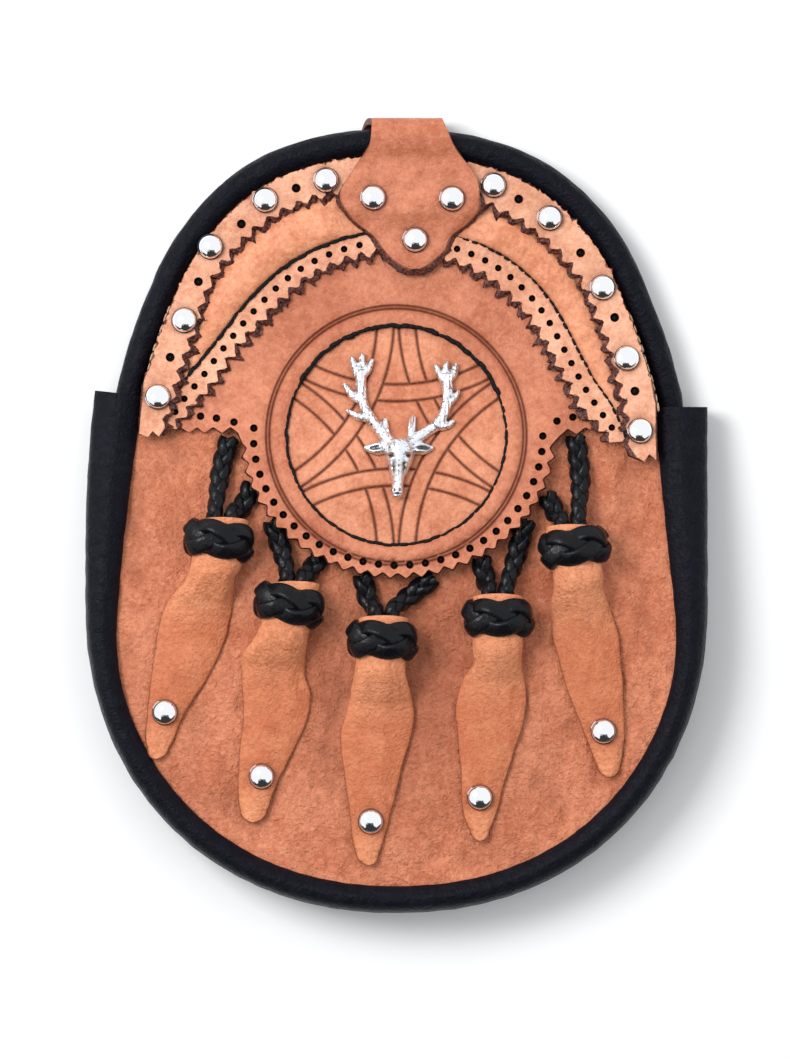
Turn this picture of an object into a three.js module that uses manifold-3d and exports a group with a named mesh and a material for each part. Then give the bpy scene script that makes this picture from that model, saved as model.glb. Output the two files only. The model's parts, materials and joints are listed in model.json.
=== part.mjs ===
// A leather day sporran lying on its back, in millimetres: X across, Y toward the top, Z up from the
// table. The hollow pouch is a back panel, a bent gusset and a domed front panel. The stacked flap hangs
// from a padded rim, a riveted tab folds over the top and runs down the back as a belt loop, and five
// tassels lie in front.
import * as THREE from "three";
import { mergeVertices } from "three/addons/utils/BufferGeometryUtils.js";
import Module from "manifold-3d";

const wasm = await Module();
wasm.setup();

// Leather and clearances
const GAP = 0.3;
const FLAP_LEATHER = 2.0;
const OVERLAY_LEATHER = 1.6;
const BAND_LEATHER = 2.0;
const OVERLAY_FOOT = FLAP_LEATHER + GAP + 0.1;
const BAND_FOOT = OVERLAY_FOOT + OVERLAY_LEATHER + GAP + 0.1;
const PANEL_LEATHER = 2.0;
const BACK_LEATHER = 2.2;
const TAB_LEATHER = 2.0;

// Pouch outline: straight sides over a superellipse bottom
const BODY_HALF_WIDTH = 93.6;
const BODY_BOTTOM_Y = -26.1;
const BODY_ROUNDNESS = 2.15;
const GUSSET_TOP = { left: 37.5, right: 32.5 };
const SHOULDER = { left: 33.2, right: 28.4 };
const LEFT_TAPER = { narrowing: 2.7, aboveY: -10, reach: 47 };
const BACK_INSET = 0.8;
const FRONT_INSET = 4.5;

// The gusset's section: up the outside, over the roll and its lip, and back down the inside
const GUSSET_ROLL = { width: 8.4, gain: { left: 6.0, right: 7.0 }, fromY: -60, over: 97, rise: 4.5 };
const GUSSET_SECTION = [
  // share of the roll's width, inset, level, above it
  [0.0, 1.4, "foot", 0],
  [0.0, 0.0, "middle", 0],
  [0.0, 0.9, "top", -3.0],
  [0.3, 0.0, "top", -0.6],
  [0.58, 0.0, "top", 0],
  [0.86, 0.0, "top", -1.3],
  [1.0, 0.0, "top", -3.0],
  [1.0, -0.5, "lip", 0],
  [1.0, -2.3, "lip", 0],
  [1.0, -1.8, "top", -3.2],
  [0.82, -0.5, "top", -2.5],
  [0.57, 0.0, "top", -1.8],
  [0.33, 0.0, "top", -2.3],
  [0.0, 2.7, "top", -3.7],
  [0.0, 1.8, "middle", 0],
  [0.0, 3.2, "foot", 0],
];

// Heights: the front panel is fullest at FRONT_FULL_Y and thins toward the mouth
const FRONT_TOP = 21.5;
const FRONT_FULL_Y = -60;
const MOUTH_DROP = 9.0;
const MOUTH_REACH = 94;
const BOTTOM_DROP = 1.5;
const BOTTOM_REACH = 50;
const CROWN = 1.0;
const CROWN_HALF_WIDTH = 77;
const HANGER_STEP = { height: 2.4, fromY: 5, over: 35 };
const MOUTH_Y = 34;
const FLAP_END_SLOPE = 0.19;
const FLAP_CURVE = 0.001125;
const LOBE_LIFT = { height: 4.2, topY: 55, over: 45, fullTo: 45, fade: 15 };

// The flap's arcs are radii about the roundel's centre, by angle from +X: the rim's outer edge, the rivet
// band's inner edge, the stitched seam at the strip's outer edge, and the strip's pinked inner edge
const ROUNDEL = { x: 0, y: 24, window: 33 };
const ARCH = [
  // angle, rim, band, seam, strip
  [-6, 87.5, 71.5, 71.0, 69.0],
  [0, 87.2, 70.0, 68.7, 63.4],
  [8, 86.8, 69.2, 65.2, 56.6],
  [16, 86.3, 68.8, 61.5, 54.2],
  [28, 87.0, 70.0, 60.3, 53.0],
  [44, 91.0, 73.2, 61.8, 54.0],
  [62, 93.7, 74.8, 62.8, 55.3],
  [90, 92.5, 75.0, 61.6, 55.6],
  [118, 93.3, 75.9, 61.0, 54.8],
  [138, 89.5, 73.2, 60.2, 53.6],
  [152, 86.1, 69.0, 61.0, 55.0],
  [164, 85.2, 68.0, 65.0, 57.5],
  [172, 85.5, 68.6, 69.0, 62.5],
  [180, 86.0, 71.0, 71.5, 68.5],
];
const RIM = { width: 7.9, height: 9.4, from: 3.5, to: 172.9, sides: 10, steps: 24 };
const TOOTH_DEPTH = 2.0;
const STRIP_TEETH = 38;
const BAND_TEETH = 46;
const STRIP_HOLE = { radius: 1.05, eachSide: 17, left: [101, 174], right: [2, 72] };
const FLAP_HOLE = 1.15;
const BAND_HOLE = 1.35;

// The crescent bulges where it is wide enough, and lies flat under the tab
const CRESCENT = { from: -3, to: 178, leastWidth: 0.9 };
const BULGE = { height: 2.2, middleX: 5, clearOf: 12, over: 16, fromWidth: 2, overWidth: 8 };

// The flap's lower edge: a pinked lobe round the roundel, and the short edges beside it
const LOBE = { x: 0.5, y: 23.7, across: 46.3, down: 41.7, teeth: 29, holesAcross: 43.4, holesDown: 38.8 };
const SIDE_PINKING = { teeth: 6, depth: 1.6 };
const LEFT_EDGE = [
  // x, y
  [-77.2, 25.6],
  [-47.5, 25.6],
];
const RIGHT_EDGE = [
  // x, y
  [49.0, 24.8],
  [61.0, 25.4],
  [70.0, 20.5],
  [77.9, 17.8],
];
const SIDE_HOLES = [
  // x, y
  [-58.9, 29.7],
  [-54.1, 29.1],
  [-48.8, 27.9],
  [48.2, 28.2],
  [53.0, 29.4],
  [57.2, 29.4],
];

// Where the flap and the band stop beside the gusset's lips
const FLAP_SIDE = { left: -77.2, right: 77.9 };
const FLAP_END = { left: 27.0, right: 19.0 };
const BAND_END = { left: 24.4, right: 16.4 };
const FLAP_SHOULDER = { right: [77.7, 33.5], left: [-76.0, 39.0], from: 12, to: 166 };
const BAND_LEFT_TIP = [[-74.6, 23.4], [-73.2, 25.2], [-71.4, 23.6]];
const BAND_RIGHT_TIP = [[72.2, 17.4], [74.4, 15.9], [75.8, 18.0]];

// Domed rivet caps
const CAP = { radius: 3.65, height: 2.4, sides: 10 };
const BAND_RIVETS = [
  // x, y
  [-71.6, 35.4],
  [-63.8, 58.5],
  [-56.0, 80.7],
  [-39.5, 94.8],
  [-21.2, 100.8],
  [29.2, 99.3],
  [46.1, 89.4],
  [62.0, 68.4],
  [69.2, 47.1],
  [73.1, 25.2],
];
const BAND_HOLES = [
  // x, y
  [-68.0, 47.4],
  [-59.6, 70.2],
  [-46.7, 87.6],
  [-30.2, 98.4],
  [36.8, 95.1],
  [55.4, 78.9],
  [65.6, 59.4],
  [71.6, 37.2],
];
const TAB_RIVETS = [
  // x, y
  [-7.0, 95.4],
  [16.7, 95.1],
  [5.6, 82.8],
];

// The tab from its lower tip up the front, then over the top edge and down the back
const TAB_FRONT = [
  // y, left, right
  [72.9, 4.6, 6.4],
  [74.1, 1.9, 8.8],
  [76.5, -1.0, 11.4],
  [80.0, -3.9, 14.5],
  [84.0, -6.8, 16.4],
  [88.0, -11.9, 21.6],
  [91.8, -15.2, 24.6],
  [94.8, -16.8, 24.9],
  [98.0, -16.7, 24.9],
  [102.0, -14.3, 23.9],
  [107.4, -10.8, 20.0],
];
const TAB_FOLD = [
  // y, z, left, right
  [111.5, 13.9, -8.2, 17.2],
  [115.4, 13.6, -7.6, 15.4],
  [118.0, 11.8, -7.5, 14.0],
  [118.7, 7.0, -8.6, 13.6],
  [117.6, 2.6, -9.8, 13.4],
  [114.6, 1.0, -10.8, 13.4],
  [58.0, 1.0, -10.8, 13.4],
];

const TAB_STEP = { y: 86, over: 6 };

// Tassels: the knot's centre and turn, the tops of both braid legs, and the blade's edges from the knot down
const KNOT = { halfWidth: 10.2, halfDepth: 6.6, halfLength: 6.2, hole: 8.05, sides: 12 };
const NECK = { halfWidth: 7.5, aboveKnot: 7.6, wall: 1.6 };
const BRAID = { width: 6.2, endWidth: 4.2, height: 3.4, apart: 2.6, sides: 8, steps: 6 };
const BRAID_START = { alongKnot: [4.2, 9.2], bendLift: 1.0 };
const BLADE_FORM = [
  // share of the length, wrap angle, half height, clearance under it
  [0.0, 165, 4.8, 2.1],
  [0.2, 165, 4.8, 2.1],
  [0.29, 120, 4.9, 1.2],
  [0.38, 75, 4.9, 0.6],
  [0.5, 52, 5.0, 0.35],
  [1.0, 50, 4.0, 0.35],
];
const TASSELS = [
  {
    knot: [-53.1, -8.4],
    turn: -8,
    rivet: [-69.4, -59.1],
    legs: [[[-52.6, 13.5], [-50.2, 23.0]], [[-46.4, 2.2], [-43.2, 9.0]]],
    blade: [
      // y, left, right
      [-19.5, -63.4, -48.4],
      [-25.5, -68.2, -48.8],
      [-31.5, -71.0, -49.7],
      [-39.0, -72.4, -51.8],
      [-49.2, -73.9, -56.6],
      [-59.1, -75.1, -63.0],
      [-67.5, -75.4, -66.6],
      [-71.4, -74.2, -69.0],
      [-72.9, -72.9, -71.2],
    ],
  },
  {
    knot: [-32.1, -27.4],
    turn: -12,
    rivet: [-40.4, -78.3],
    legs: [[[-34.9, -9.3], [-37.3, -1.8]], [[-25.4, -16.2], [-22.9, -12.6]]],
    blade: [
      [-36.6, -42.4, -26.8],
      [-42.0, -46.0, -27.1],
      [-48.0, -46.6, -27.0],
      [-54.0, -46.3, -25.6],
      [-60.0, -46.1, -26.2],
      [-67.5, -46.9, -29.0],
      [-76.2, -47.6, -33.5],
      [-84.0, -47.7, -36.9],
      [-89.4, -46.8, -38.9],
      [-91.8, -44.2, -41.6],
    ],
  },
  {
    knot: [-4.3, -37.8],
    turn: -3,
    rivet: [-7.7, -91.8],
    legs: [[[-8.2, -26.2], [-10.2, -18.0]], [[3.0, -25.0], [11.0, -19.0]]],
    blade: [
      [-48.0, -12.5, 3.0],
      [-54.6, -13.9, 4.6],
      [-59.7, -15.7, 5.5],
      [-66.3, -17.0, 4.5],
      [-76.2, -16.1, 1.7],
      [-87.3, -14.6, -0.8],
      [-97.5, -13.4, -3.5],
      [-102.3, -12.0, -5.3],
      [-104.7, -9.8, -6.7],
    ],
  },
  {
    knot: [30.3, -31.3],
    turn: 0,
    rivet: [25.0, -84.6],
    legs: [[[27.0, -20.4], [25.3, -13.2]], [[35.6, -13.4], [38.8, -1.8]]],
    blade: [
      [-44.4, 22.8, 37.4],
      [-48.0, 20.8, 37.8],
      [-51.6, 18.8, 38.9],
      [-56.4, 17.6, 39.2],
      [-65.1, 17.8, 37.4],
      [-76.2, 19.0, 33.8],
      [-87.3, 19.4, 30.8],
      [-93.0, 20.9, 28.9],
      [-97.5, 24.1, 26.0],
    ],
  },
  {
    knot: [53.2, -10.5],
    turn: 8,
    rivet: [62.0, -64.8],
    legs: [[[47.6, 0.9], [45.2, 6.0]], [[55.2, 10.5], [53.9, 23.6]]],
    blade: [
      [-22.5, 47.0, 61.8],
      [-27.0, 46.3, 63.6],
      [-30.6, 46.1, 65.2],
      [-37.5, 46.9, 66.9],
      [-48.3, 49.7, 67.9],
      [-58.8, 53.3, 68.6],
      [-69.3, 57.5, 68.4],
      [-75.0, 59.9, 67.6],
      [-78.3, 62.6, 64.9],
    ],
  },
];

// The cast stag head, in its own frame at the roundel's centre: tapering limbs as x, y, radius
const STAG_LIMBS = {
  head: [[1.0, -2.2, 3.2], [1.0, -4.8, 4.4], [0.6, -9.0, 3.6], [0.5, -13.5, 2.1], [0.2, -19.8, 1.6]],
  leftEar: [[-1.8, -4.0, 1.2], [-6.0, -4.6, 1.9], [-9.6, -4.4, 0.5]],
  rightEar: [[3.6, -4.0, 1.2], [7.4, -4.6, 1.9], [10.9, -4.4, 0.5]],
  leftBeam: [[-1.2, -3.6, 1.8], [-5.4, 1.6, 1.5], [-8.5, 6.0, 1.4], [-10.4, 11.0, 1.4], [-10.9, 19.6, 1.8]],
  leftOuterTip: [[-11.0, 18.6, 1.5], [-13.6, 24.0, 0.5]],
  leftTopTip: [[-10.9, 18.6, 1.4], [-10.6, 25.0, 0.5]],
  leftInnerTip: [[-10.6, 18.8, 1.4], [-7.4, 23.1, 0.5]],
  leftHighTine: [[-10.4, 10.0, 1.2], [-15.7, 15.6, 0.4]],
  leftLowTine: [[-8.4, 5.0, 1.2], [-14.8, 7.3, 0.4]],
  leftBrowTine: [[-2.8, -1.6, 1.2], [-3.4, 4.6, 0.4]],
  rightBeam: [[3.2, -3.6, 1.8], [8.8, 0.6, 1.5], [13.0, 4.0, 1.4], [15.3, 11.0, 1.4], [14.8, 18.4, 1.8]],
  rightInnerTip: [[14.6, 17.2, 1.5], [11.8, 21.4, 0.5]],
  rightTopTip: [[14.9, 17.4, 1.4], [15.1, 22.7, 0.5]],
  rightOuterTip: [[15.0, 17.4, 1.4], [17.8, 21.9, 0.5]],
  rightHighTine: [[15.2, 9.4, 1.2], [18.7, 13.3, 0.4]],
  rightLowTine: [[12.0, 2.4, 1.2], [17.2, 4.0, 0.4]],
  rightBrowTine: [[4.2, -1.8, 1.2], [4.9, 5.4, 0.4]],
};

const TAN = { color: 0xd98f66, roughness: 0.62, metalness: 0 };
const TAN_DEEP = { color: 0xc47a52, roughness: 0.65, metalness: 0 };
const BLACK = { color: 0x17171b, roughness: 0.45, metalness: 0 };
const NICKEL = { color: 0xd8dadd, roughness: 0.12, metalness: 1 };

const part = new THREE.Group();
const DEG = Math.PI / 180;

function add(name, geometry, look) {
  const mesh = new THREE.Mesh(geometry, new THREE.MeshStandardMaterial(look));
  mesh.name = name;
  part.add(mesh);
  return mesh;
}

const smooth = (t) => THREE.MathUtils.smoothstep(t, 0, 1);

// Splines through a table's rows, read by the first column
function tableCurve(rows) {
  const columns = rows[0].length - 1;
  return new THREE.CubicInterpolant(rows.map((row) => row[0]), rows.flatMap((row) => row.slice(1)), columns);
}

const archCurve = tableCurve(ARCH);

function arch(angle) {
  const [rim, band, seam, strip] = archCurve.evaluate(angle);
  return { rim, band, seam, strip };
}

function polar(radius, angle) {
  const turn = angle * DEG;
  return new THREE.Vector2(ROUNDEL.x + radius * Math.cos(turn), ROUNDEL.y + radius * Math.sin(turn));
}

const flat = ([x, y]) => new THREE.Vector2(x, y);

// Height of the front panel's face above the table
function frontFace(x, y) {
  const away = y - FRONT_FULL_Y;
  const drop = away > 0 ? MOUTH_DROP * (away / MOUTH_REACH) ** 2 : BOTTOM_DROP * (away / BOTTOM_REACH) ** 2;
  return FRONT_TOP - drop - CROWN * (x / CROWN_HALF_WIDTH) ** 2;
}

// Underside of the back panel, which steps over the belt loop
function backFoot(x, y) {
  return HANGER_STEP.height * smooth((y - HANGER_STEP.fromY) / HANGER_STEP.over);
}

// Underside of the flap: on the front panel below the mouth, falling to the back panel above it,
// with the lobe lifted by the braids under its edge
function flapFoot(x, y) {
  const beside = smooth((Math.abs(x) - LOBE_LIFT.fullTo) / LOBE_LIFT.fade);
  const lift = LOBE_LIFT.height * smooth((LOBE_LIFT.topY - y) / LOBE_LIFT.over) * (1 - beside);
  if (y <= MOUTH_Y) return frontFace(x, y) + GAP + lift;
  const up = y - MOUTH_Y;
  return frontFace(0, MOUTH_Y) + GAP - FLAP_END_SLOPE * up + FLAP_CURVE * up * up
    - CROWN * (x / CROWN_HALF_WIDTH) ** 2 + lift;
}

function signedVolume(geometry) {
  const p = geometry.attributes.position;
  const index = geometry.index;
  const [a, b, c] = [new THREE.Vector3(), new THREE.Vector3(), new THREE.Vector3()];
  let sum = 0;
  for (let i = 0; i < index.count; i += 3) {
    a.fromBufferAttribute(p, index.getX(i));
    b.fromBufferAttribute(p, index.getX(i + 1));
    c.fromBufferAttribute(p, index.getX(i + 2));
    sum += a.dot(b.cross(c));
  }
  return sum;
}

function closedGeometry(points, triangles) {
  const geometry = new THREE.BufferGeometry().setFromPoints(points).setIndex(triangles);
  if (signedVolume(geometry) < 0) geometry.setIndex(triangles.toReversed());
  return geometry;
}

// Joins rings of equal length; the end caps pair the ring's first half with its second half
function loft(rings) {
  const count = rings[0].length;
  const points = rings.flat();
  const triangles = [];
  const quad = (a, b, c, d) => triangles.push(a, b, c, a, c, d);
  for (let i = 0; i + 1 < rings.length; i += 1) {
    for (let j = 0; j < count; j += 1) {
      const next = (j + 1) % count;
      quad(i * count + j, i * count + next, (i + 1) * count + next, (i + 1) * count + j);
    }
  }
  const last = (rings.length - 1) * count;
  for (let j = 0; j + 1 < count / 2; j += 1) {
    const back = count - 1 - j;
    quad(j + 1, j, back, back - 1);
    quad(last + j, last + j + 1, last + back - 1, last + back);
  }
  return closedGeometry(points, triangles);
}

// A sheet between two height functions over a rectangle, on a grid shared by every layer
function sheet(foot, head, [x0, x1], [y0, y1], pitch = [15, 14]) {
  const [i0, i1] = [Math.floor(x0 / pitch[0]), Math.ceil(x1 / pitch[0])];
  const [j0, j1] = [Math.floor(y0 / pitch[1]), Math.ceil(y1 / pitch[1])];
  const columns = i1 - i0 + 1;
  const rows = j1 - j0 + 1;
  const points = [];
  for (const height of [foot, head]) {
    for (let j = j0; j <= j1; j += 1) {
      for (let i = i0; i <= i1; i += 1) {
        const [x, y] = [i * pitch[0], j * pitch[1]];
        points.push(new THREE.Vector3(x, y, height(x, y)));
      }
    }
  }
  const up = columns * rows;
  const at = (i, j) => j * columns + i;
  const triangles = [];
  for (let j = 0; j + 1 < rows; j += 1) {
    for (let i = 0; i + 1 < columns; i += 1) {
      const [a, b, c, d] = [at(i, j), at(i + 1, j), at(i + 1, j + 1), at(i, j + 1)];
      triangles.push(a, c, b, a, d, c, up + a, up + b, up + c, up + a, up + c, up + d);
    }
  }
  const wall = (a, b) => triangles.push(a, b, up + b, a, up + b, up + a);
  for (let i = 0; i + 1 < columns; i += 1) {
    wall(at(i, 0), at(i + 1, 0));
    wall(at(i + 1, rows - 1), at(i, rows - 1));
  }
  for (let j = 0; j + 1 < rows; j += 1) {
    wall(at(columns - 1, j), at(columns - 1, j + 1));
    wall(at(0, j + 1), at(0, j));
  }
  return closedGeometry(points, triangles);
}

function solid(geometry) {
  const bare = geometry.clone();
  bare.deleteAttribute("normal");
  bare.deleteAttribute("uv");
  const merged = mergeVertices(bare, 1e-4);
  return new wasm.Manifold(new wasm.Mesh({
    numProp: 3,
    vertProperties: merged.attributes.position.array,
    triVerts: new Uint32Array(merged.index.array),
  }));
}

function geometryOf(manifold) {
  const mesh = manifold.getMesh();
  return new THREE.BufferGeometry()
    .setAttribute("position", new THREE.BufferAttribute(mesh.vertProperties, 3))
    .setIndex(new THREE.BufferAttribute(mesh.triVerts, 1));
}

// A vertical prism through every height that a sheet can have, with round holes [x, y, radius, sides]
function prism(outline, holes = []) {
  const shape = new THREE.Shape(outline);
  for (const [x, y, radius, sides] of holes) {
    const corners = Array.from({ length: sides }, (_, i) => {
      const turn = (-2 * Math.PI * i) / sides;
      return new THREE.Vector2(x + radius * Math.cos(turn), y + radius * Math.sin(turn));
    });
    shape.holes.push(new THREE.Path(corners));
  }
  const geometry = new THREE.ExtrudeGeometry(shape, { depth: 70, bevelEnabled: false, curveSegments: 1 });
  return geometry.translate(0, 0, -10);
}

function cutSheet(foot, head, outline, holes = [], pitch = undefined) {
  const box = new THREE.Box2().setFromPoints(outline);
  const slab = sheet(foot, head, [box.min.x - 1, box.max.x + 1], [box.min.y - 1, box.max.y + 1], pitch);
  return geometryOf(solid(slab).intersect(solid(prism(outline, holes))));
}

const raised = (foot, by) => (x, y) => foot(x, y) + by;

// Points at equal steps along a line through the given points
function evenly(points, count) {
  return new THREE.SplineCurve(points).getSpacedPoints(count - 1);
}

function sampled(from, to, count, pointAt) {
  return Array.from({ length: count }, (_, i) => pointAt(from + ((to - from) * i) / (count - 1)));
}

// A pinked edge: the line's even points, pushed to alternate sides by half the tooth's depth
function pinked(points, teeth, depth) {
  const line = evenly(points, 2 * teeth + 1);
  return line.map((point, i) => {
    const ahead = line[Math.min(i + 1, line.length - 1)];
    const behind = line[Math.max(i - 1, 0)];
    const side = new THREE.Vector2(behind.y - ahead.y, ahead.x - behind.x).normalize();
    return point.clone().addScaledVector(side, (i % 2 ? 0.5 : -0.5) * depth);
  });
}

// The pouch's outline and the gusset's frame along it

function bodyHalfWidth(y, left) {
  const below = Math.min(Math.max((BODY_BOTTOM_Y - y) / BODY_HALF_WIDTH, 0), 1);
  const round = BODY_HALF_WIDTH * (1 - below ** BODY_ROUNDNESS) ** (1 / BODY_ROUNDNESS);
  const above = Math.max(y - LEFT_TAPER.aboveY, 0) / LEFT_TAPER.reach;
  return left ? round - LEFT_TAPER.narrowing * above ** 2 : round;
}

function bodyCorner(turn) {
  const power = 2 / BODY_ROUNDNESS;
  const [c, s] = [Math.cos(turn), Math.sin(turn)];
  const x = BODY_HALF_WIDTH * Math.sign(c) * Math.abs(c) ** power;
  return new THREE.Vector2(x, BODY_BOTTOM_Y - BODY_HALF_WIDTH * Math.abs(s) ** power);
}

// From the left top, down and round the bottom, up to the right top
function bodyLine(leftTop, rightTop, sideSteps, bottomSteps) {
  const leftSide = (y) => new THREE.Vector2(-bodyHalfWidth(y, true), y);
  const rightSide = (y) => new THREE.Vector2(bodyHalfWidth(y, false), y);
  const left = sampled(leftTop, BODY_BOTTOM_Y, sideSteps + 1, leftSide);
  const bottom = sampled(Math.PI, 2 * Math.PI, bottomSteps + 1, bodyCorner).slice(1, -1);
  const right = sampled(BODY_BOTTOM_Y, rightTop, sideSteps + 1, rightSide);
  return [...left, ...bottom, ...right];
}

// A line's points moved to its left by a distance, which may change from point to point
function inset(line, distance) {
  return line.map((point, i) => {
    const ahead = line[Math.min(i + 1, line.length - 1)];
    const behind = line[Math.max(i - 1, 0)];
    const inward = new THREE.Vector2(behind.y - ahead.y, ahead.x - behind.x).normalize();
    return point.clone().addScaledVector(inward, distance(point));
  });
}

function rollWidth(point) {
  const gain = point.x < 0 ? GUSSET_ROLL.gain.left : GUSSET_ROLL.gain.right;
  return GUSSET_ROLL.width + gain * smooth((point.y - GUSSET_ROLL.fromY) / GUSSET_ROLL.over);
}

function gusset() {
  const line = bodyLine(GUSSET_TOP.left, GUSSET_TOP.right, 4, 18);
  const inner = inset(line, () => 1);
  const rings = line.map((edge, i) => {
    const inward = inner[i].clone().sub(edge);
    const width = rollWidth(edge);
    const top = frontFace(edge.x, edge.y) + GUSSET_ROLL.rise;
    const foot = backFoot(edge.x, edge.y) + BACK_LEATHER + GAP;
    const lip = frontFace(edge.x + inward.x * width, edge.y + inward.y * width) + GAP + 0.1;
    const levels = { foot, middle: (foot + top) / 2, top, lip };
    return GUSSET_SECTION.map(([share, side, level, above]) => {
      const u = share * width + side;
      return new THREE.Vector3(edge.x + inward.x * u, edge.y + inward.y * u, levels[level] + above);
    });
  });
  return loft(rings);
}

function backPanel() {
  const lower = inset(bodyLine(SHOULDER.left, SHOULDER.right, 4, 18), () => BACK_INSET);
  const radius = (angle) => arch(angle).rim - RIM.width - GAP;
  const upper = sampled(RIM.from, RIM.to, 26, (angle) => polar(radius(angle), angle));
  upper[0].y = SHOULDER.right;
  upper[upper.length - 1].y = SHOULDER.left;
  return cutSheet(backFoot, raised(backFoot, BACK_LEATHER), [...lower, ...upper], [], [200, 12]);
}

function frontPanel() {
  const outline = inset(bodyLine(SHOULDER.left - 0.5, SHOULDER.right - 0.5, 3, 18), () => FRONT_INSET);
  return cutSheet(raised(frontFace, -PANEL_LEATHER), frontFace, outline, [], [30, 18]);
}

// The padded rim that edges the back panel above the gusset
function rim() {
  const rings = sampled(RIM.from, RIM.to, RIM.steps, (angle) => {
    const radius = arch(angle).rim - RIM.width / 2;
    const foot = HANGER_STEP.height + 0.1;
    const ring = [];
    for (let i = 0; i < RIM.sides; i += 1) {
      const turn = ((i + 0.5) / RIM.sides) * 2 * Math.PI;
      const spot = polar(radius + (RIM.width / 2) * Math.cos(turn), angle);
      ring.push(new THREE.Vector3(spot.x, spot.y, foot + (RIM.height / 2) * (1 + Math.sin(turn))));
    }
    return ring;
  });
  return loft(rings);
}

// The flap's outer edge beside the rim and the gusset's lips, from the right end to the left end
function flapSide(rightEnd, leftEnd) {
  const inside = (angle) => polar(arch(angle).rim - RIM.width - GAP, angle);
  return [
    new THREE.Vector2(FLAP_SIDE.right, rightEnd),
    flat(FLAP_SHOULDER.right),
    ...sampled(FLAP_SHOULDER.from, FLAP_SHOULDER.to, 24, inside),
    flat(FLAP_SHOULDER.left),
    new THREE.Vector2(FLAP_SIDE.left, leftEnd),
  ];
}

function lobeLine(across, down, from, to, count) {
  return sampled(from, to, count, (turn) => (
    new THREE.Vector2(LOBE.x + across * Math.cos(turn * DEG), LOBE.y + down * Math.sin(turn * DEG))
  ));
}

function flapPanel() {
  const { teeth, depth } = SIDE_PINKING;
  const leftEdge = pinked(LEFT_EDGE.map(flat), teeth, depth);
  const rightEdge = pinked(RIGHT_EDGE.map(flat), teeth, depth);
  const lobe = pinked(lobeLine(LOBE.across, LOBE.down, 182, 358, 40), LOBE.teeth, TOOTH_DEPTH);
  const outline = [
    ...flapSide(FLAP_END.right, FLAP_END.left),
    ...leftEdge.slice(1),
    ...lobe,
    ...rightEdge.slice(0, -1),
  ];
  const lobeHoles = evenly(lobeLine(LOBE.holesAcross, LOBE.holesDown, 176.5, 360, 40), LOBE.teeth)
    .map((hole) => [hole.x, hole.y, FLAP_HOLE, 5]);
  const sideHoles = SIDE_HOLES.map(([x, y]) => [x, y, FLAP_HOLE, 5]);
  const window = [ROUNDEL.x, ROUNDEL.y, ROUNDEL.window, 24];
  const holes = [...lobeHoles, ...sideHoles, window];
  return cutSheet(flapFoot, raised(flapFoot, FLAP_LEATHER), outline, holes);
}

function medallion() {
  const radius = ROUNDEL.window - GAP;
  const outline = sampled(0, 345, 24, (angle) => polar(radius, angle));
  return cutSheet(flapFoot, raised(flapFoot, FLAP_LEATHER - 0.4), outline);
}

// The padded overlay between the strip's seam and the rim, bulging where it shows
function crescentPad() {
  const rings = sampled(CRESCENT.from, CRESCENT.to, 26, (angle) => {
    const { rim: outer, band, seam } = arch(angle);
    const start = seam + GAP;
    const end = Math.min(outer - RIM.width - GAP, CROWN_HALF_WIDTH / Math.abs(Math.cos(angle * DEG)));
    const width = Math.max(band - TOOTH_DEPTH / 2 - 0.4 - start, CRESCENT.leastWidth);
    const beside = Math.abs(polar(seam, angle).x - BULGE.middleX);
    const fullness = smooth((width - BULGE.fromWidth) / BULGE.overWidth)
      * smooth((beside - BULGE.clearOf) / BULGE.over);
    const bulge = BULGE.height * fullness;
    const radii = [start, start + 0.3 * width, start + 0.7 * width, start + width, end];
    const heights = [0, bulge, bulge, 0, 0].map((extra) => OVERLAY_FOOT + OVERLAY_LEATHER + extra);
    const at = (radius, height) => {
      const spot = polar(radius, angle);
      return new THREE.Vector3(spot.x, spot.y, flapFoot(spot.x, spot.y) + height);
    };
    return [
      ...radii.map((radius, i) => at(radius, heights[i])),
      ...radii.map((radius) => at(radius, OVERLAY_FOOT)).reverse(),
    ];
  });
  return loft(rings);
}

function innerStrip() {
  const seamLine = (angle) => polar(arch(angle).seam, angle);
  const stripLine = (angle) => polar(arch(angle).strip, angle);
  const middleLine = (angle) => polar((arch(angle).seam + arch(angle).strip) / 2, angle);
  const outer = sampled(-1.5, 178, 34, seamLine);
  const inner = pinked(sampled(178, -1.5, 40, stripLine), STRIP_TEETH, TOOTH_DEPTH);
  const holeRow = ([from, to]) => evenly(sampled(from, to, 16, middleLine), STRIP_HOLE.eachSide);
  const holes = [...holeRow(STRIP_HOLE.left), ...holeRow(STRIP_HOLE.right)]
    .map((hole) => [hole.x, hole.y, STRIP_HOLE.radius, 5]);
  const foot = raised(flapFoot, OVERLAY_FOOT);
  return cutSheet(foot, raised(foot, OVERLAY_LEATHER), [...outer, ...inner], holes);
}

function rivetBand() {
  const bandLine = (angle) => polar(arch(angle).band, angle);
  const inner = pinked(sampled(178, -2, 44, bandLine), BAND_TEETH, TOOTH_DEPTH);
  const outline = [
    ...flapSide(BAND_END.right, BAND_END.left),
    ...BAND_LEFT_TIP.map(flat),
    ...inner,
    ...BAND_RIGHT_TIP.map(flat),
  ];
  const holes = BAND_HOLES.map(([x, y]) => [x, y, BAND_HOLE, 6]);
  const foot = raised(flapFoot, BAND_FOOT);
  return cutSheet(foot, raised(foot, BAND_LEATHER), outline, holes);
}

// Height of the tab's underside over the layers that it covers
function tabFoot(x, y) {
  const overBand = BAND_FOOT + BAND_LEATHER + GAP + 0.1;
  const overStrip = OVERLAY_FOOT + OVERLAY_LEATHER + GAP;
  return flapFoot(x, y) + overStrip + (overBand - overStrip) * smooth((y - TAB_STEP.y) / TAB_STEP.over);
}

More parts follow.
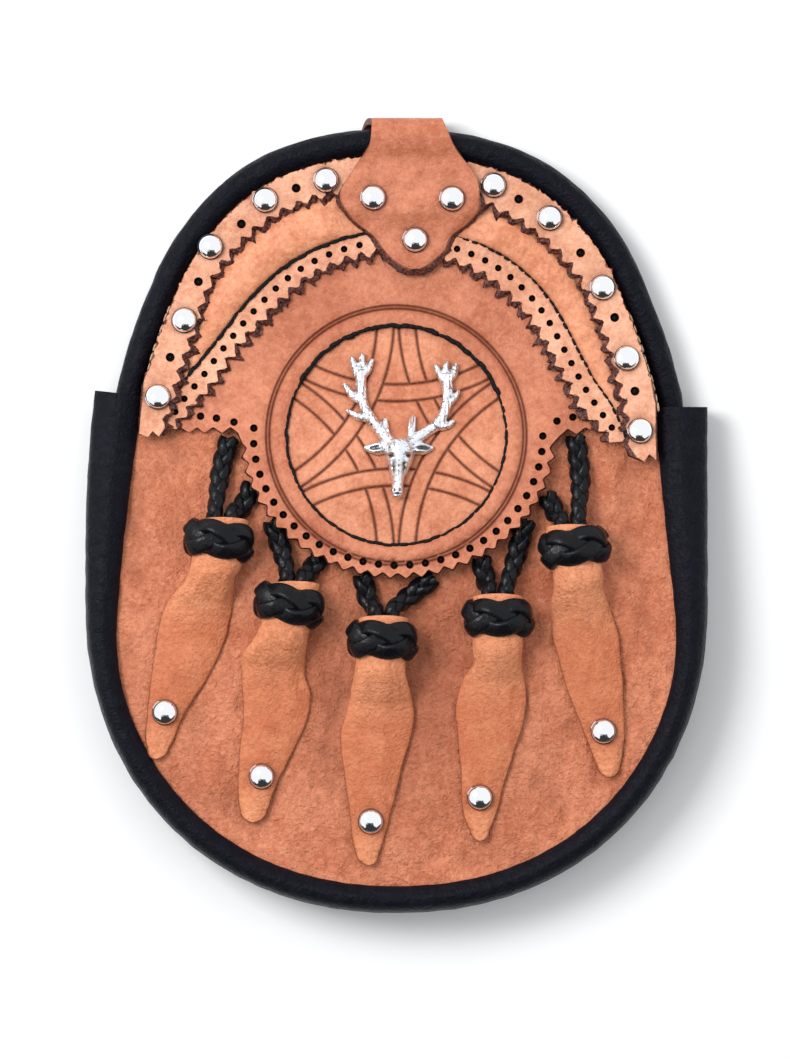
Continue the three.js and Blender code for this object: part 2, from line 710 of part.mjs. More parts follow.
function tabStrap() {
  const front = TAB_FRONT.map(([y, left, right]) => {
    const middle = (left + right) / 2;
    return { y, z: tabFoot(middle, y) + TAB_LEATHER / 2, left, right };
  });
  const fold = TAB_FOLD.map(([y, z, left, right]) => ({ y, z, left, right }));
  const stations = [...front, ...fold];
  const rings = stations.map((station, i) => {
    const ahead = stations[Math.min(i + 1, stations.length - 1)];
    const behind = stations[Math.max(i - 1, 0)];
    const along = new THREE.Vector2(ahead.y - behind.y, ahead.z - behind.z).normalize();
    const rise = new THREE.Vector2(-along.y, along.x).multiplyScalar(TAB_LEATHER / 2);
    const corner = (x, side) => new THREE.Vector3(x, station.y + side * rise.x, station.z + side * rise.y);
    const { left, right } = station;
    return [corner(left, 1), corner(right, 1), corner(right, -1), corner(left, -1)];
  });
  return loft(rings);
}

// Domed caps that lie on the slope under them
function cap() {
  const { radius, height, sides } = CAP;
  const profile = [[0, 0], [radius, 0], [radius * 0.85, height * 0.6], [0, height]];
  return new THREE.LatheGeometry(profile.map(flat), sides).rotateX(Math.PI / 2);
}

function seat(mesh, x, y, height, clearance) {
  const step = 2;
  const slopeX = (height(x + step, y) - height(x - step, y)) / (2 * step);
  const slopeY = (height(x, y + step) - height(x, y - step)) / (2 * step);
  const normal = new THREE.Vector3(-slopeX, -slopeY, 1).normalize();
  mesh.quaternion.setFromUnitVectors(new THREE.Vector3(0, 0, 1), normal);
  mesh.position.set(x, y, height(x, y)).addScaledVector(normal, clearance);
}

function placeRivets() {
  const bandTop = raised(flapFoot, BAND_FOOT + BAND_LEATHER);
  BAND_RIVETS.forEach(([x, y], i) => {
    seat(add(`band_rivet_${i + 1}`, cap(), NICKEL), x, y, bandTop, 0.4);
  });
  TAB_RIVETS.forEach(([x, y], i) => {
    seat(add(`tab_rivet_${i + 1}`, cap(), NICKEL), x, y, raised(tabFoot, TAB_LEATHER), 0.5);
  });
}

// One tapering limb of the casting, flat underneath
function limb(stations) {
  const rings = stations.map(([x, y, radius], i) => {
    const ahead = stations[Math.min(i + 1, stations.length - 1)];
    const behind = stations[Math.max(i - 1, 0)];
    const side = new THREE.Vector2(behind[1] - ahead[1], ahead[0] - behind[0]).normalize();
    const height = 0.5 + 1.1 * radius;
    const at = (u, z) => new THREE.Vector3(x + side.x * u, y + side.y * u, z);
    return [
      at(-radius, 0),
      at(-radius * 0.8, height * 0.6),
      at(0, height),
      at(radius * 0.8, height * 0.6),
      at(radius, 0),
      at(0, 0),
    ];
  });
  return loft(rings);
}

function stagHead() {
  const limbs = Object.values(STAG_LIMBS).map((stations) => solid(limb(stations)));
  return geometryOf(limbs.reduce((whole, next) => whole.add(next)));
}

// One tassel: a blade whose neck is rolled round the braid's ends, a knot round the neck, two braid legs
// and a rivet
function bladeRows(tassel) {
  const along = new THREE.Vector2(-Math.sin(tassel.turn * DEG), Math.cos(tassel.turn * DEG));
  const neck = [NECK.aboveKnot, 0, -KNOT.halfLength - 1].map((distance) => {
    const [x, y] = [tassel.knot[0] + along.x * distance, tassel.knot[1] + along.y * distance];
    return [y, x - NECK.halfWidth, x + NECK.halfWidth];
  });
  return [...neck, ...tassel.blade];
}

const bladeForm = tableCurve(BLADE_FORM);

// The blade's edges and wrap where it crosses a given y
function bladeSection(tassel, y) {
  const rows = bladeRows(tassel);
  const [left, right] = tableCurve(rows.map(([rowY, ...edges]) => [-rowY, ...edges])).evaluate(-y);
  const share = (rows[0][0] - y) / (rows[0][0] - rows[rows.length - 1][0]);
  const [wrap, half, clearance] = bladeForm.evaluate(share);
  const angle = wrap * DEG;
  const lowest = (angle > Math.PI / 2 ? half : half - NECK.wall) * Math.cos(angle);
  const centre = (left + right) / 2;
  const middle = frontFace(centre, y) + clearance - lowest;
  return { centre, across: (right - left) / 2, angle, half, middle };
}

function blade(tassel) {
  const corners = 6;
  const rings = bladeRows(tassel).map(([y]) => {
    const { centre, across, angle, half, middle } = bladeSection(tassel, y);
    const radius = across / Math.sin(Math.min(angle, Math.PI / 2));
    const wall = Math.min(NECK.wall, across * 0.6);
    const point = (turn, thin) => (
      new THREE.Vector3(centre + (radius - thin) * Math.sin(turn), y, middle + (half - thin) * Math.cos(turn))
    );
    const outer = sampled(-angle, angle, corners, (turn) => point(turn, 0));
    const inner = sampled(angle, -angle, corners, (turn) => point(turn, wall));
    return [...outer, ...inner];
  });
  return loft(rings);
}

function knot() {
  const { halfWidth, halfLength, hole } = KNOT;
  const profile = [
    [hole, -halfLength * 0.75],
    [halfWidth - 1.0, -halfLength],
    [halfWidth, -halfLength * 0.45],
    [halfWidth, halfLength * 0.45],
    [halfWidth - 1.0, halfLength],
    [hole, halfLength * 0.75],
    [hole, -halfLength * 0.75],
  ];
  return new THREE.LatheGeometry(profile.map(flat), KNOT.sides)
    .scale(1, 1, KNOT.halfDepth / halfWidth);
}

// A leg runs from inside the neck up and over to the front panel, under the flap's edge
function braidLeg(tassel, side, [bend, top]) {
  const turn = tassel.turn * DEG;
  const along = new THREE.Vector2(-Math.sin(turn), Math.cos(turn));
  const across = new THREE.Vector2(Math.cos(turn), Math.sin(turn)).multiplyScalar(side * BRAID.apart);
  const start = new THREE.Vector2(...tassel.knot).add(across);
  const low = BRAID.height / 2 + GAP + 0.1;
  const high = KNOT.halfDepth + GAP;
  const place = (spot, height) => new THREE.Vector3(spot.x, spot.y, frontFace(spot.x, spot.y) + height);
  const path = new THREE.CatmullRomCurve3([
    ...BRAID_START.alongKnot.map((distance) => place(start.clone().addScaledVector(along, distance), high)),
    place(flat(bend), low + BRAID_START.bendLift),
    place(flat(top), low),
  ]);
  const rings = sampled(0, 1, BRAID.steps, (share) => {
    const point = path.getPoint(share);
    const ahead = path.getTangent(share);
    const sideways = new THREE.Vector2(-ahead.y, ahead.x).normalize();
    const width = THREE.MathUtils.lerp(BRAID.endWidth, BRAID.width, smooth((share - 0.35) / 0.4));
    return sampled(0, (2 * Math.PI * (BRAID.sides - 1)) / BRAID.sides, BRAID.sides, (angle) => {
      const u = (width / 2) * Math.cos(angle + Math.PI / BRAID.sides);
      const v = (BRAID.height / 2) * Math.sin(angle + Math.PI / BRAID.sides);
      return new THREE.Vector3(point.x + sideways.x * u, point.y + sideways.y * u, point.z + v);
    });
  });
  return loft(rings);
}

function placeTassel(tassel, number) {
  add(`tassel_blade_${number}`, blade(tassel), TAN);
  const ring = add(`tassel_knot_${number}`, knot().rotateZ(tassel.turn * DEG), BLACK);
  seat(ring, ...tassel.knot, frontFace, KNOT.halfDepth + GAP);
  add(`braid_${number}_left`, braidLeg(tassel, -1, tassel.legs[0]), BLACK);
  add(`braid_${number}_right`, braidLeg(tassel, 1, tassel.legs[1]), BLACK);
  const bladeTop = (x, y) => {
    const { middle, half } = bladeSection(tassel, y);
    return middle + half;
  };
  seat(add(`tassel_rivet_${number}`, cap(), NICKEL), ...tassel.rivet, bladeTop, GAP);
}

add("back_panel", backPanel(), BLACK);
add("gusset", gusset(), BLACK);
add("front_panel", frontPanel(), TAN_DEEP);
add("rim", rim(), BLACK);
add("flap_panel", flapPanel(), TAN);
add("medallion", medallion(), TAN);
add("crescent_pad", crescentPad(), TAN);
add("inner_strip", innerStrip(), TAN);
add("rivet_band", rivetBand(), TAN);
add("tab_strap", tabStrap(), TAN);
placeRivets();
seat(add("stag_head", stagHead(), NICKEL), ROUNDEL.x, ROUNDEL.y, raised(flapFoot, FLAP_LEATHER - 0.4), 0.6);
TASSELS.forEach((tassel, i) => placeTassel(tassel, i + 1));

export default part;
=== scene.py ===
"""A leather day sporran lying on its back, seen from straight above.

Every piece is worked out in millimetres in the frame's own axes (X across, Y toward the top, Z up from the
table) and put into its mesh in metres. Heights are functions of x and y, and each layer lies on the one below.
"""
import json
import math

import bpy
import numpy as np
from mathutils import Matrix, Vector
from mathutils.geometry import delaunay_2d_cdt

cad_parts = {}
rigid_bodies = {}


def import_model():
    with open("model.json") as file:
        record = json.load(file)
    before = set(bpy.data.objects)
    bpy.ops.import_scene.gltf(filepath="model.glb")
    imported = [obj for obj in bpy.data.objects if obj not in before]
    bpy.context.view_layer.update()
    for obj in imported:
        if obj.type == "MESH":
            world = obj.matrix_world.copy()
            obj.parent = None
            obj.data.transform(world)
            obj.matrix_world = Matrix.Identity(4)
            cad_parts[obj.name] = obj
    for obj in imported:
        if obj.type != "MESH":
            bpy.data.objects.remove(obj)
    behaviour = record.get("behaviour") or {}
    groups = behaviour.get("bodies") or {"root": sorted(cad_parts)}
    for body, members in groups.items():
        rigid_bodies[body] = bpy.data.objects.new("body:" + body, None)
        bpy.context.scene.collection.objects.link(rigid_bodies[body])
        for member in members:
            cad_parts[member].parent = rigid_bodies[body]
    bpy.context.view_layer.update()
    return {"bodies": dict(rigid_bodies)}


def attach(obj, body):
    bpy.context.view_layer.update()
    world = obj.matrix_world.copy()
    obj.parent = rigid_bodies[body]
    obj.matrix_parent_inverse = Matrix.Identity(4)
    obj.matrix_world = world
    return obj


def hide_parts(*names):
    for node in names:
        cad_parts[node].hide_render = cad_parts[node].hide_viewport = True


bl_info = {
    "name": "Leather Sporran",
    "version": (1, 0, 0),
    "blender": (4, 5, 0),
    "location": "3D View > Sidebar > Sporran",
    "description": "Builds a leather day sporran piece by piece",
    "category": "Object",
}

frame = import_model()
BODY = next(iter(frame["bodies"]))
MM = 0.001
UP = (0.0, 0.0, 1.0)

# Leather layers of the flap, from the front panel up
GAP = 0.3
SEAT = 0.1
FLAP_LEATHER = 2.0
OVERLAY_LEATHER = 1.6
BAND_LEATHER = 2.0
TAB_LEATHER = 2.0
BACK_LEATHER = 2.2
PANEL_LEATHER = 2.0
OVERLAY_FOOT = FLAP_LEATHER + GAP + SEAT
BAND_FOOT = OVERLAY_FOOT + OVERLAY_LEATHER + GAP + SEAT
MEDALLION_LEATHER = FLAP_LEATHER - 0.4

# Cut edges: how far down each row of points is, how far a hole's wall leans in, and how frayed the tan ones are
CUT_SHARES = (0.08, 0.3, 0.55, 0.8)
HOLE_SLOPE = 0.25
RAW_FUZZ = 0.26
PITCH = {"back": 2.6, "panel": 1.25, "flap": 1.2, "medallion": 0.36, "strip": 0.8, "band": 0.85}

# Angles in degrees past which an edge of a mesh is shown sharp
NO_EDGES, CUT_EDGES, SOFT_EDGES, CAST_EDGES = 0, 38, 60, 70

# Stitches: the thread's sides, and how far its ends go into the leather
STITCH_SIDES = 8
STITCH_SINK = 0.25

# Pouch outline and heights
BODY_HALF_WIDTH = 93.6
BODY_BOTTOM_Y = -26.1
BODY_ROUNDNESS = 2.15
LEFT_TAPER = {"narrowing": 2.7, "above": -10.0, "reach": 47.0}
GUSSET_TOP = {"left": 37.5, "right": 32.5}
SHOULDER = {"left": 33.2, "right": 28.4}
BACK_INSET = 0.8
FRONT_INSET = 4.5
FRONT_FACE = {"top": 21.5, "full_y": -60.0, "mouth_drop": 9.0, "mouth_reach": 94.0}
FRONT_BOTTOM = {"drop": 1.5, "reach": 50.0}
CROWN = {"height": 1.0, "half_width": 77.0}
MOUTH_Y = 34.0
FLAP_SLOPE = {"fall": 0.19, "curve": 0.001125}
LOBE_LIFT = {"height": 4.2, "top": 55.0, "over": 45.0, "full_to": 45.0, "fade": 15.0}
HANGER_STEP = {"height": 2.4, "from": 5.0, "over": 35.0}
GUSSET_ROLL = {
    "width": 8.4, "left": 6.0, "right": 7.0, "from": -60.0, "over": 97.0, "rise": 4.5, "length": 470.0}
GUSSET_SECTION = [
    # share of the roll's width, inset, level, above it
    (0.0, 1.4, "foot", 0.0), (0.0, 0.0, "middle", 0.0), (0.0, 0.9, "top", -3.0), (0.3, 0.0, "top", -0.6),
    (0.58, 0.0, "top", 0.0), (0.86, 0.0, "top", -1.3), (1.0, 0.0, "top", -3.0), (1.0, -0.5, "lip", 0.0),
    (1.0, -2.3, "lip", 0.0), (1.0, -1.8, "top", -3.2), (0.82, -0.5, "top", -2.5), (0.57, 0.0, "top", -1.8),
    (0.33, 0.0, "top", -2.3), (0.0, 2.7, "top", -3.7), (0.0, 1.8, "middle", 0.0), (0.0, 3.2, "foot", 0.0),
]
PANEL_SWELL = 0.28
PANEL_DENTS = [
    # x, y, across, up, turn, depth
    (-82.0, 8.0, 4.0, 22.0, 8, 1.1), (-20.0, -62.0, 4.5, 24.0, -6, 0.8), (9.0, -48.0, 5.0, 18.0, 10, 0.9),
    (-55.0, -88.0, 14.0, 8.0, 30, 0.9), (46.0, -82.0, 6.0, 16.0, -14, 0.8), (42.0, -10.0, 5.0, 12.0, 0, 0.7),
    (-62.0, 16.0, 10.0, 4.0, 20, 0.6), (70.0, 4.0, 5.0, 16.0, 4, 0.9), (76.0, -40.0, 4.0, 26.0, 6, 0.8),
    (22.0, -104.0, 20.0, 4.0, 0, 0.6),
]

# The flap's arcs: radii about the roundel's centre by angle from +X
ROUNDEL = {"x": 0.0, "y": 24.0, "window": 33.0}
RIM_LINE, BAND_LINE, SEAM_LINE, STRIP_LINE = range(4)
ARCH = [
    # angle, rim, band, seam, strip
    (-6, 87.5, 71.5, 71.0, 69.0), (0, 87.2, 70.0, 68.7, 63.4), (8, 86.8, 69.2, 65.2, 56.6),
    (16, 86.3, 68.8, 61.5, 54.2), (28, 87.0, 70.0, 60.3, 53.0), (44, 91.0, 73.2, 61.8, 54.0),
    (62, 93.7, 74.8, 62.8, 55.3), (90, 92.5, 75.0, 61.6, 55.6), (118, 93.3, 75.9, 61.0, 54.8),
    (138, 89.5, 73.2, 60.2, 53.6), (152, 86.1, 69.0, 61.0, 55.0), (164, 85.2, 68.0, 65.0, 57.5),
    (172, 85.5, 68.6, 69.0, 62.5), (180, 86.0, 71.0, 71.5, 68.5),
]
RIM = {"width": 7.9, "height": 9.4, "from": 3.5, "to": 172.9}
TEETH = {"strip": 38, "band": 46, "lobe": 29, "side": 6, "side_depth": 1.6}
STRIP_HOLES = {"each_side": 17, "left": (101, 174), "right": (2, 72)}
LOBE = {"x": 0.5, "y": 23.7, "across": 46.3, "down": 41.7, "holes_across": 43.4, "holes_down": 38.8}
LEFT_EDGE = [(-77.2, 25.6), (-47.5, 25.6)]
RIGHT_EDGE = [(49.0, 24.8), (61.0, 25.4), (70.0, 20.5), (77.9, 17.8)]
SIDE_HOLES = [(-58.9, 29.7), (-54.1, 29.1), (-48.8, 27.9), (48.2, 28.2), (53.0, 29.4), (57.2, 29.4)]
FLAP_SIDE = {"left": -77.2, "right": 77.9}
FLAP_END = {"left": 27.0, "right": 19.0}
BAND_END = {"left": 24.4, "right": 16.4}
FLAP_SHOULDER = {"right": (77.7, 33.5), "left": (-76.0, 39.0), "from": 12, "to": 166}
BAND_LEFT_TIP = [(-74.6, 23.4), (-73.2, 25.2), (-71.4, 23.6)]
BAND_RIGHT_TIP = [(72.2, 17.4), (74.4, 15.9), (75.8, 18.0)]
BULGE = {"height": 2.2, "middle_x": 5.0, "clear": 12.0, "over": 16.0, "from": 2.0, "width": 8.0}
BAND_RIVETS = [
    (-71.6, 35.4), (-63.8, 58.5), (-56.0, 80.7), (-39.5, 94.8), (-21.2, 100.8),
    (29.2, 99.3), (46.1, 89.4), (62.0, 68.4), (69.2, 47.1), (73.1, 25.2),
]
CAP_SEAT = {"band": 0.4, "tab": 0.5, "tassel": GAP}
BAND_HOLES = [
    (-68.0, 47.4), (-59.6, 70.2), (-46.7, 87.6), (-30.2, 98.4),
    (36.8, 95.1), (55.4, 78.9), (65.6, 59.4), (71.6, 37.2),
]

# The tab: its front by height, then its path over the top edge and down the back
TAB_RIVETS = [(-7.0, 95.4), (16.7, 95.1), (5.6, 82.8)]
TAB_FRONT = [
    # y, left, right
    (72.9, 4.6, 6.4), (74.1, 1.9, 8.8), (76.5, -1.0, 11.4), (80.0, -3.9, 14.5), (84.0, -6.8, 16.4),
    (88.0, -11.9, 21.6), (91.8, -15.2, 24.6), (94.8, -16.8, 24.9), (98.0, -16.7, 24.9), (102.0, -14.3, 23.9),
    (107.4, -10.8, 20.0),
]
TAB_FOLD = [
    # y, z, left, right
    (111.5, 13.9, -8.2, 17.2), (115.4, 13.6, -7.6, 15.4), (118.0, 11.8, -7.5, 14.0), (118.7, 7.0, -8.6, 13.6),
    (117.6, 2.6, -9.8, 13.4), (114.6, 1.0, -10.8, 13.4), (58.0, 1.0, -10.8, 13.4),
]
TAB_STEP = {"y": 86.0, "over": 6.0}

# Tooling on the medallion: six curved straps, named by the side they cross, from the lowest to the top one
STRAP = {"nearest": 12.7, "end_radius": 32.0, "end_spread": 54.0, "half_width": 2.55}
STRAP_ORDER = (30, 210, 90, 270, 150, 330)
RING_GROOVES = (39.1, 38.1)

# Tassels: the knot's centre and turn, the tops of both plaited legs, and the blade's edges from the knot down.
# A strand sways to the sides, bobs up and rolls its face, and its section is a superellipse
KNOT = {
    "half_width": 8.9, "half_depth": 5.6, "above": 7.3, "bights": 5, "leads": 3, "half_length": 6.2,
    "sway": (3.6, 0.62, 0.62), "strand": (2.5, 1.15, 20, 2.9), "band": (4.9, 0.55, 16, 3),
    "band_inset": 0.55}
NECK = {"half_width": 7.5, "above_knot": 7.2, "wall": 1.6}
LEG = {
    "height": 3.4, "apart": 2.6, "start": (4.2, 9.2), "start_height": 6.9, "bend_lift": 1.0, "turn": 15.0,
    "sway": (1.95, 0.62, 0.75), "strand": (1.55, 0.98, 12, 2.5)}
BLADE_TIP = 3.3
BLADE_FORM = [
    # share of the length, wrap angle, half height, clearance under it
    (0.0, 165, 4.8, 2.1), (0.2, 165, 4.8, 2.1), (0.29, 120, 4.9, 1.2), (0.38, 75, 4.9, 0.6),
    (0.5, 52, 5.0, 0.35), (1.0, 50, 4.0, 0.35),
]
TASSELS = [
    {
        "knot": (-53.1, -8.4), "turn": -8, "rivet": (-69.4, -59.1),
        "legs": [[(-52.6, 13.5), (-50.2, 23.0)], [(-46.4, 2.2), (-43.2, 9.0)]],
        "blade": [
            # y, left, right
            (-19.5, -63.4, -48.4), (-25.5, -68.2, -48.8), (-31.5, -71.0, -49.7), (-39.0, -72.4, -51.8),
            (-49.2, -73.9, -56.6), (-59.1, -75.1, -63.0), (-67.5, -75.4, -66.6), (-71.4, -74.2, -69.0),
            (-72.9, -72.9, -71.2),
        ],
    },
    {
        "knot": (-32.1, -27.4), "turn": -12, "rivet": (-40.4, -78.3),
        "legs": [[(-34.9, -9.3), (-37.3, -1.8)], [(-25.4, -16.2), (-22.9, -12.6)]],
        "blade": [
            (-36.6, -42.4, -26.8), (-42.0, -46.0, -27.1), (-48.0, -46.6, -27.0), (-54.0, -46.3, -25.6),
            (-60.0, -46.1, -26.2), (-67.5, -46.9, -29.0), (-76.2, -47.6, -33.5), (-84.0, -47.7, -36.9),
            (-89.4, -46.8, -38.9), (-91.8, -44.2, -41.6),
        ],
    },
    {
        "knot": (-4.3, -37.8), "turn": -3, "rivet": (-7.7, -91.8),
        "legs": [[(-8.2, -26.2), (-10.2, -18.0)], [(3.0, -25.0), (11.0, -19.0)]],
        "blade": [
            (-48.0, -12.5, 3.0), (-54.6, -13.9, 4.6), (-59.7, -15.7, 5.5), (-66.3, -17.0, 4.5),
            (-76.2, -16.1, 1.7), (-87.3, -14.6, -0.8), (-97.5, -13.4, -3.5), (-102.3, -12.0, -5.3),
            (-104.7, -9.8, -6.7),
        ],
    },
    {
        "knot": (30.3, -31.3), "turn": 0, "rivet": (25.0, -84.6),
        "legs": [[(27.0, -20.4), (25.3, -13.2)], [(35.6, -13.4), (38.8, -1.8)]],
        "blade": [
            (-44.4, 22.8, 37.4), (-48.0, 20.8, 37.8), (-51.6, 18.8, 38.9), (-56.4, 17.6, 39.2),
            (-65.1, 17.8, 37.4), (-76.2, 19.0, 33.8), (-87.3, 19.4, 30.8), (-93.0, 20.9, 28.9),
            (-97.5, 24.1, 26.0),
        ],
    },
    {
        "knot": (53.2, -10.5), "turn": 8, "rivet": (62.0, -64.8),
        "legs": [[(47.6, 0.9), (45.2, 6.0)], [(55.2, 10.5), (53.9, 23.6)]],
        "blade": [
            (-22.5, 47.0, 61.8), (-27.0, 46.3, 63.6), (-30.6, 46.1, 65.2), (-37.5, 46.9, 66.9),
            (-48.3, 49.7, 67.9), (-58.8, 53.3, 68.6), (-69.3, 57.5, 68.4), (-75.0, 59.9, 67.6),
            (-78.3, 62.6, 64.9),
        ],
    },
]

# The cast stag head about the roundel's centre: tapering limbs as x, y, radius
STAG_LIMBS = {
    "head": [
        (1.0, -2.6, 3.4), (1.0, -4.8, 4.2), (0.8, -8.8, 3.7), (0.6, -11.6, 2.5), (0.4, -14.2, 1.6),
        (0.2, -17.4, 1.5), (0.2, -19.0, 1.4), (0.2, -20.0, 0.6)],
    "left ear": [(-1.8, -4.0, 1.0), (-6.0, -4.6, 1.7), (-9.8, -4.3, 0.3)],
    "right ear": [(3.6, -4.0, 1.0), (7.4, -4.6, 1.7), (11.1, -4.3, 0.3)],
    "left beam": [(-1.2, -3.6, 1.8), (-5.4, 1.6, 1.5), (-8.5, 6.0, 1.4), (-10.4, 11.0, 1.3), (-10.9, 19.6, 1.6)],
    "left outer tip": [(-11.0, 17.6, 1.2), (-12.6, 21.0, 1.0), (-13.6, 24.4, 0.4)],
    "left top tip": [(-10.9, 17.6, 1.2), (-10.4, 21.6, 1.0), (-10.4, 25.4, 0.4)],
    "left inner tip": [(-10.6, 18.0, 1.2), (-8.6, 20.4, 0.9), (-7.2, 23.6, 0.35)],
    "left high tine": [(-10.4, 10.0, 1.1), (-13.4, 12.2, 0.9), (-15.9, 15.9, 0.35)],
    "left low tine": [(-8.4, 5.0, 1.1), (-11.6, 5.4, 0.9), (-15.0, 7.6, 0.35)],
    "left brow tine": [(-2.8, -1.6, 1.1), (-3.3, 1.6, 0.85), (-3.5, 4.8, 0.6)],
    "right beam": [(3.2, -3.6, 1.8), (8.8, 0.6, 1.5), (13.0, 4.0, 1.4), (15.3, 11.0, 1.3), (14.8, 18.4, 1.6)],
    "right inner tip": [(14.6, 16.6, 1.2), (12.9, 19.0, 1.0), (11.7, 21.9, 0.4)],
    "right top tip": [(14.9, 16.8, 1.2), (14.8, 20.2, 0.9), (15.2, 23.1, 0.35)],
    "right outer tip": [(15.0, 16.8, 1.2), (17.2, 19.2, 1.0), (17.9, 22.3, 0.35)],
    "right high tine": [(15.2, 9.4, 1.1), (17.0, 11.0, 0.9), (18.8, 13.7, 0.35)],
    "right low tine": [(12.0, 2.4, 1.1), (15.0, 2.6, 0.9), (17.4, 4.2, 0.35)],
    "right brow tine": [(4.2, -1.8, 1.2), (4.6, 2.0, 1.0), (4.9, 5.6, 0.7)],
}
# How much each limb gains before the limbs are joined, and the grain of the join
CAST_SWELL = 0.34
CAST_VOXEL = 0.26
STAG_CHASING = {
    # depth, raised where negative; spots; reach across and up
    "ears": (0.95, [(-6.4, -4.7), (8.0, -4.7)], 2.1, 0.75),
    "eyes": (0.85, [(-1.7, -7.8), (3.5, -7.8)], 0.75, 0.5),
    "eye ridges": (-0.45, [(-1.7, -6.7), (3.5, -6.7)], 1.1, 0.45),
    "nostrils": (0.7, [(-0.65, -17.9), (1.05, -17.9)], 0.36, 0.42),
    "cheeks": (0.5, [(-0.9, -11.0), (2.1, -11.0)], 0.5, 2.6),
    "mouth": (0.6, [(0.2, -19.1)], 1.1, 0.25),
    "nose": (-0.35, [(0.6, -10.5)], 0.7, 4.5),
}

# Colours that no one would change, and the stage
# Painted shade on the black cones in the punched holes
HOLE_PAINTED_SHADE = (0.004, 0.002, 0.002)
# Tarnish in the casting's hollows, and painted shade round the feet of the casting and the rivet caps
TARNISH_AND_PAINTED_SHADE = (0.03, 0.03, 0.04)
STUDIO = {
    "backdrop": 0.9, "sky": 1.0, "dark": 0.04,
    "dark_patches": [((0.06, -0.70, 0.71), 1.10, 1.14), ((0.0, -0.67, -0.74), 0.36, 0.42)],
    "key_place": (-0.72, 0.42, 1.20), "key_size": 0.6, "key_power": 13.0,
    "floor_half": 3.0, "floor_depth": 0.0003,
    "camera_height": 2.5, "view_middle": (0.00015, -0.00435), "view_tall": 0.3177}


def length_setting(name, description, default):
    """A length in metres."""
    return bpy.props.FloatProperty(name=name, description=description, default=default, unit="LENGTH")


def colour_setting(name, description, default):
    """A colour with a picker."""
    return bpy.props.FloatVectorProperty(name=name, description=description, default=default, subtype="COLOR")


class SporranSizes(bpy.types.PropertyGroup):
    """Sizes that a maker would change."""

    tooth_depth: length_setting("Pinking depth", "Depth of the zigzag on cut edges", 0.002)
    strip_hole: length_setting("Strip hole", "Radius of the strip's punched holes", 0.00105)
    lobe_hole: length_setting("Lobe hole", "Radius of the lobe's punched holes", 0.0012)
    band_hole: length_setting("Band hole", "Radius of the rivet band's holes", 0.0014)
    raw_edge: length_setting("Raw edge", "How far a cut edge slopes out below the face", 0.0021)
    groove_width: length_setting("Groove width", "Half width of a tooled line", 0.00042)
    groove_depth: length_setting("Groove depth", "Depth of a tooled line", 0.0007)
    cap_radius: length_setting("Rivet radius", "Radius of a domed rivet cap", 0.00365)
    cap_height: length_setting("Rivet height", "Height of a domed rivet cap", 0.0024)
    thread: length_setting("Thread", "Thickness of the black thread", 0.0011)


class SporranColours(bpy.types.PropertyGroup):
    """Colours of the leathers, the metal and the stage."""

    band: colour_setting("Band leather", "The riveted band and the punched strip", (0.92, 0.48, 0.31))
    pad: colour_setting("Pad leather", "The padded crescent and, in part, the medallion", (0.92, 0.405, 0.228))
    flap: colour_setting("Flap leather", "The flap, the tab and, in part, the medallion", (0.68, 0.246, 0.134))
    leaf: colour_setting("Tassel leather", "The leaves of the tassels", (0.97, 0.398, 0.204))
    panel: colour_setting("Front panel", "The creased front panel", (0.85, 0.318, 0.172))
    raw: colour_setting("Raw edge", "Cut edges of the tan leather", (0.026, 0.007, 0.005))
    tooled: colour_setting("Tooled line", "Inside of the tooled grooves", (0.085, 0.013, 0.005))
    black: colour_setting("Black leather", "Gusset, rim and back", (0.0032, 0.0033, 0.0068))
    lace: colour_setting("Black lace", "Plaited legs and knots", (0.0034, 0.0035, 0.0048))
    nickel: colour_setting("Nickel", "Rivet caps", (0.95, 0.955, 0.97))
    silver: colour_setting("Cast silver", "The stag head", (0.90, 0.92, 0.96))
    black_thread: colour_setting("Black thread", "Thread of the medallion and the strip", (0.008, 0.007, 0.008))
    cream: colour_setting("Cream thread", "Thread beside the rim", (0.36, 0.25, 0.16))
    floor: colour_setting("Floor", "The pale floor", (0.95, 0.95, 0.95))


def mm(name):
    """A size of the settings, in millimetres."""
    return getattr(bpy.context.scene.sporran_sizes, name) / MM


# Shapes in numpy

def smooth(t):
    """Eases from 0 to 1 with level ends: 3t^2 - 2t^3."""
    t = np.clip(t, 0.0, 1.0)
    return t * t * (3.0 - 2.0 * t)


def unit(vectors):
    """Each vector divided by its length."""
    return vectors / np.maximum(np.linalg.norm(vectors, axis=-1, keepdims=True), 1e-12)


def full_turn(count):
    """Even angles once round, in radians."""
    return 2 * np.pi * np.arange(count) / count


def level(line, height=0.0):
    """A plan line, or plan vectors, at one height."""
    return np.column_stack([line, np.full(len(line), height)])


def table_curve(rows, at):
    """Cubic curves through a table's rows, read by the first column. The slope at a row is the chord between
    its neighbours, and at the ends that of the last stretch."""
    rows = np.asarray(rows, float)
    at = np.asarray(at, float)
    x, y = rows[:, 0], rows[:, 1:]
    chord = np.diff(y, axis=0) / np.diff(x)[:, None]
    inner = (y[2:] - y[:-2]) / (x[2:] - x[:-2])[:, None]
    slope = np.vstack([chord[:1], inner, chord[-1:]])
    i = np.clip(np.searchsorted(x, at, side="right") - 1, 0, len(x) - 2)
    step = (x[i + 1] - x[i])[:, None]
    t = (at - x[i])[:, None] / step
    ease = t * t * (3 - 2 * t)
    leave = t * (1 - t) ** 2
    arrive = t * t * (t - 1)
    return y[i] * (1 - ease) + y[i + 1] * ease + step * (slope[i] * leave + slope[i + 1] * arrive)


def walk(line):
    """Distance along a line to each of its points."""
    return np.r_[0, np.cumsum(np.linalg.norm(np.diff(line, axis=0), axis=1))]


def even(line, count):
    """Points at even steps along a line, with its ends kept."""
    walked = walk(line)
    at = np.linspace(0, walked[-1], count)
    return np.column_stack([np.interp(at, walked, line[:, k]) for k in range(line.shape[1])])


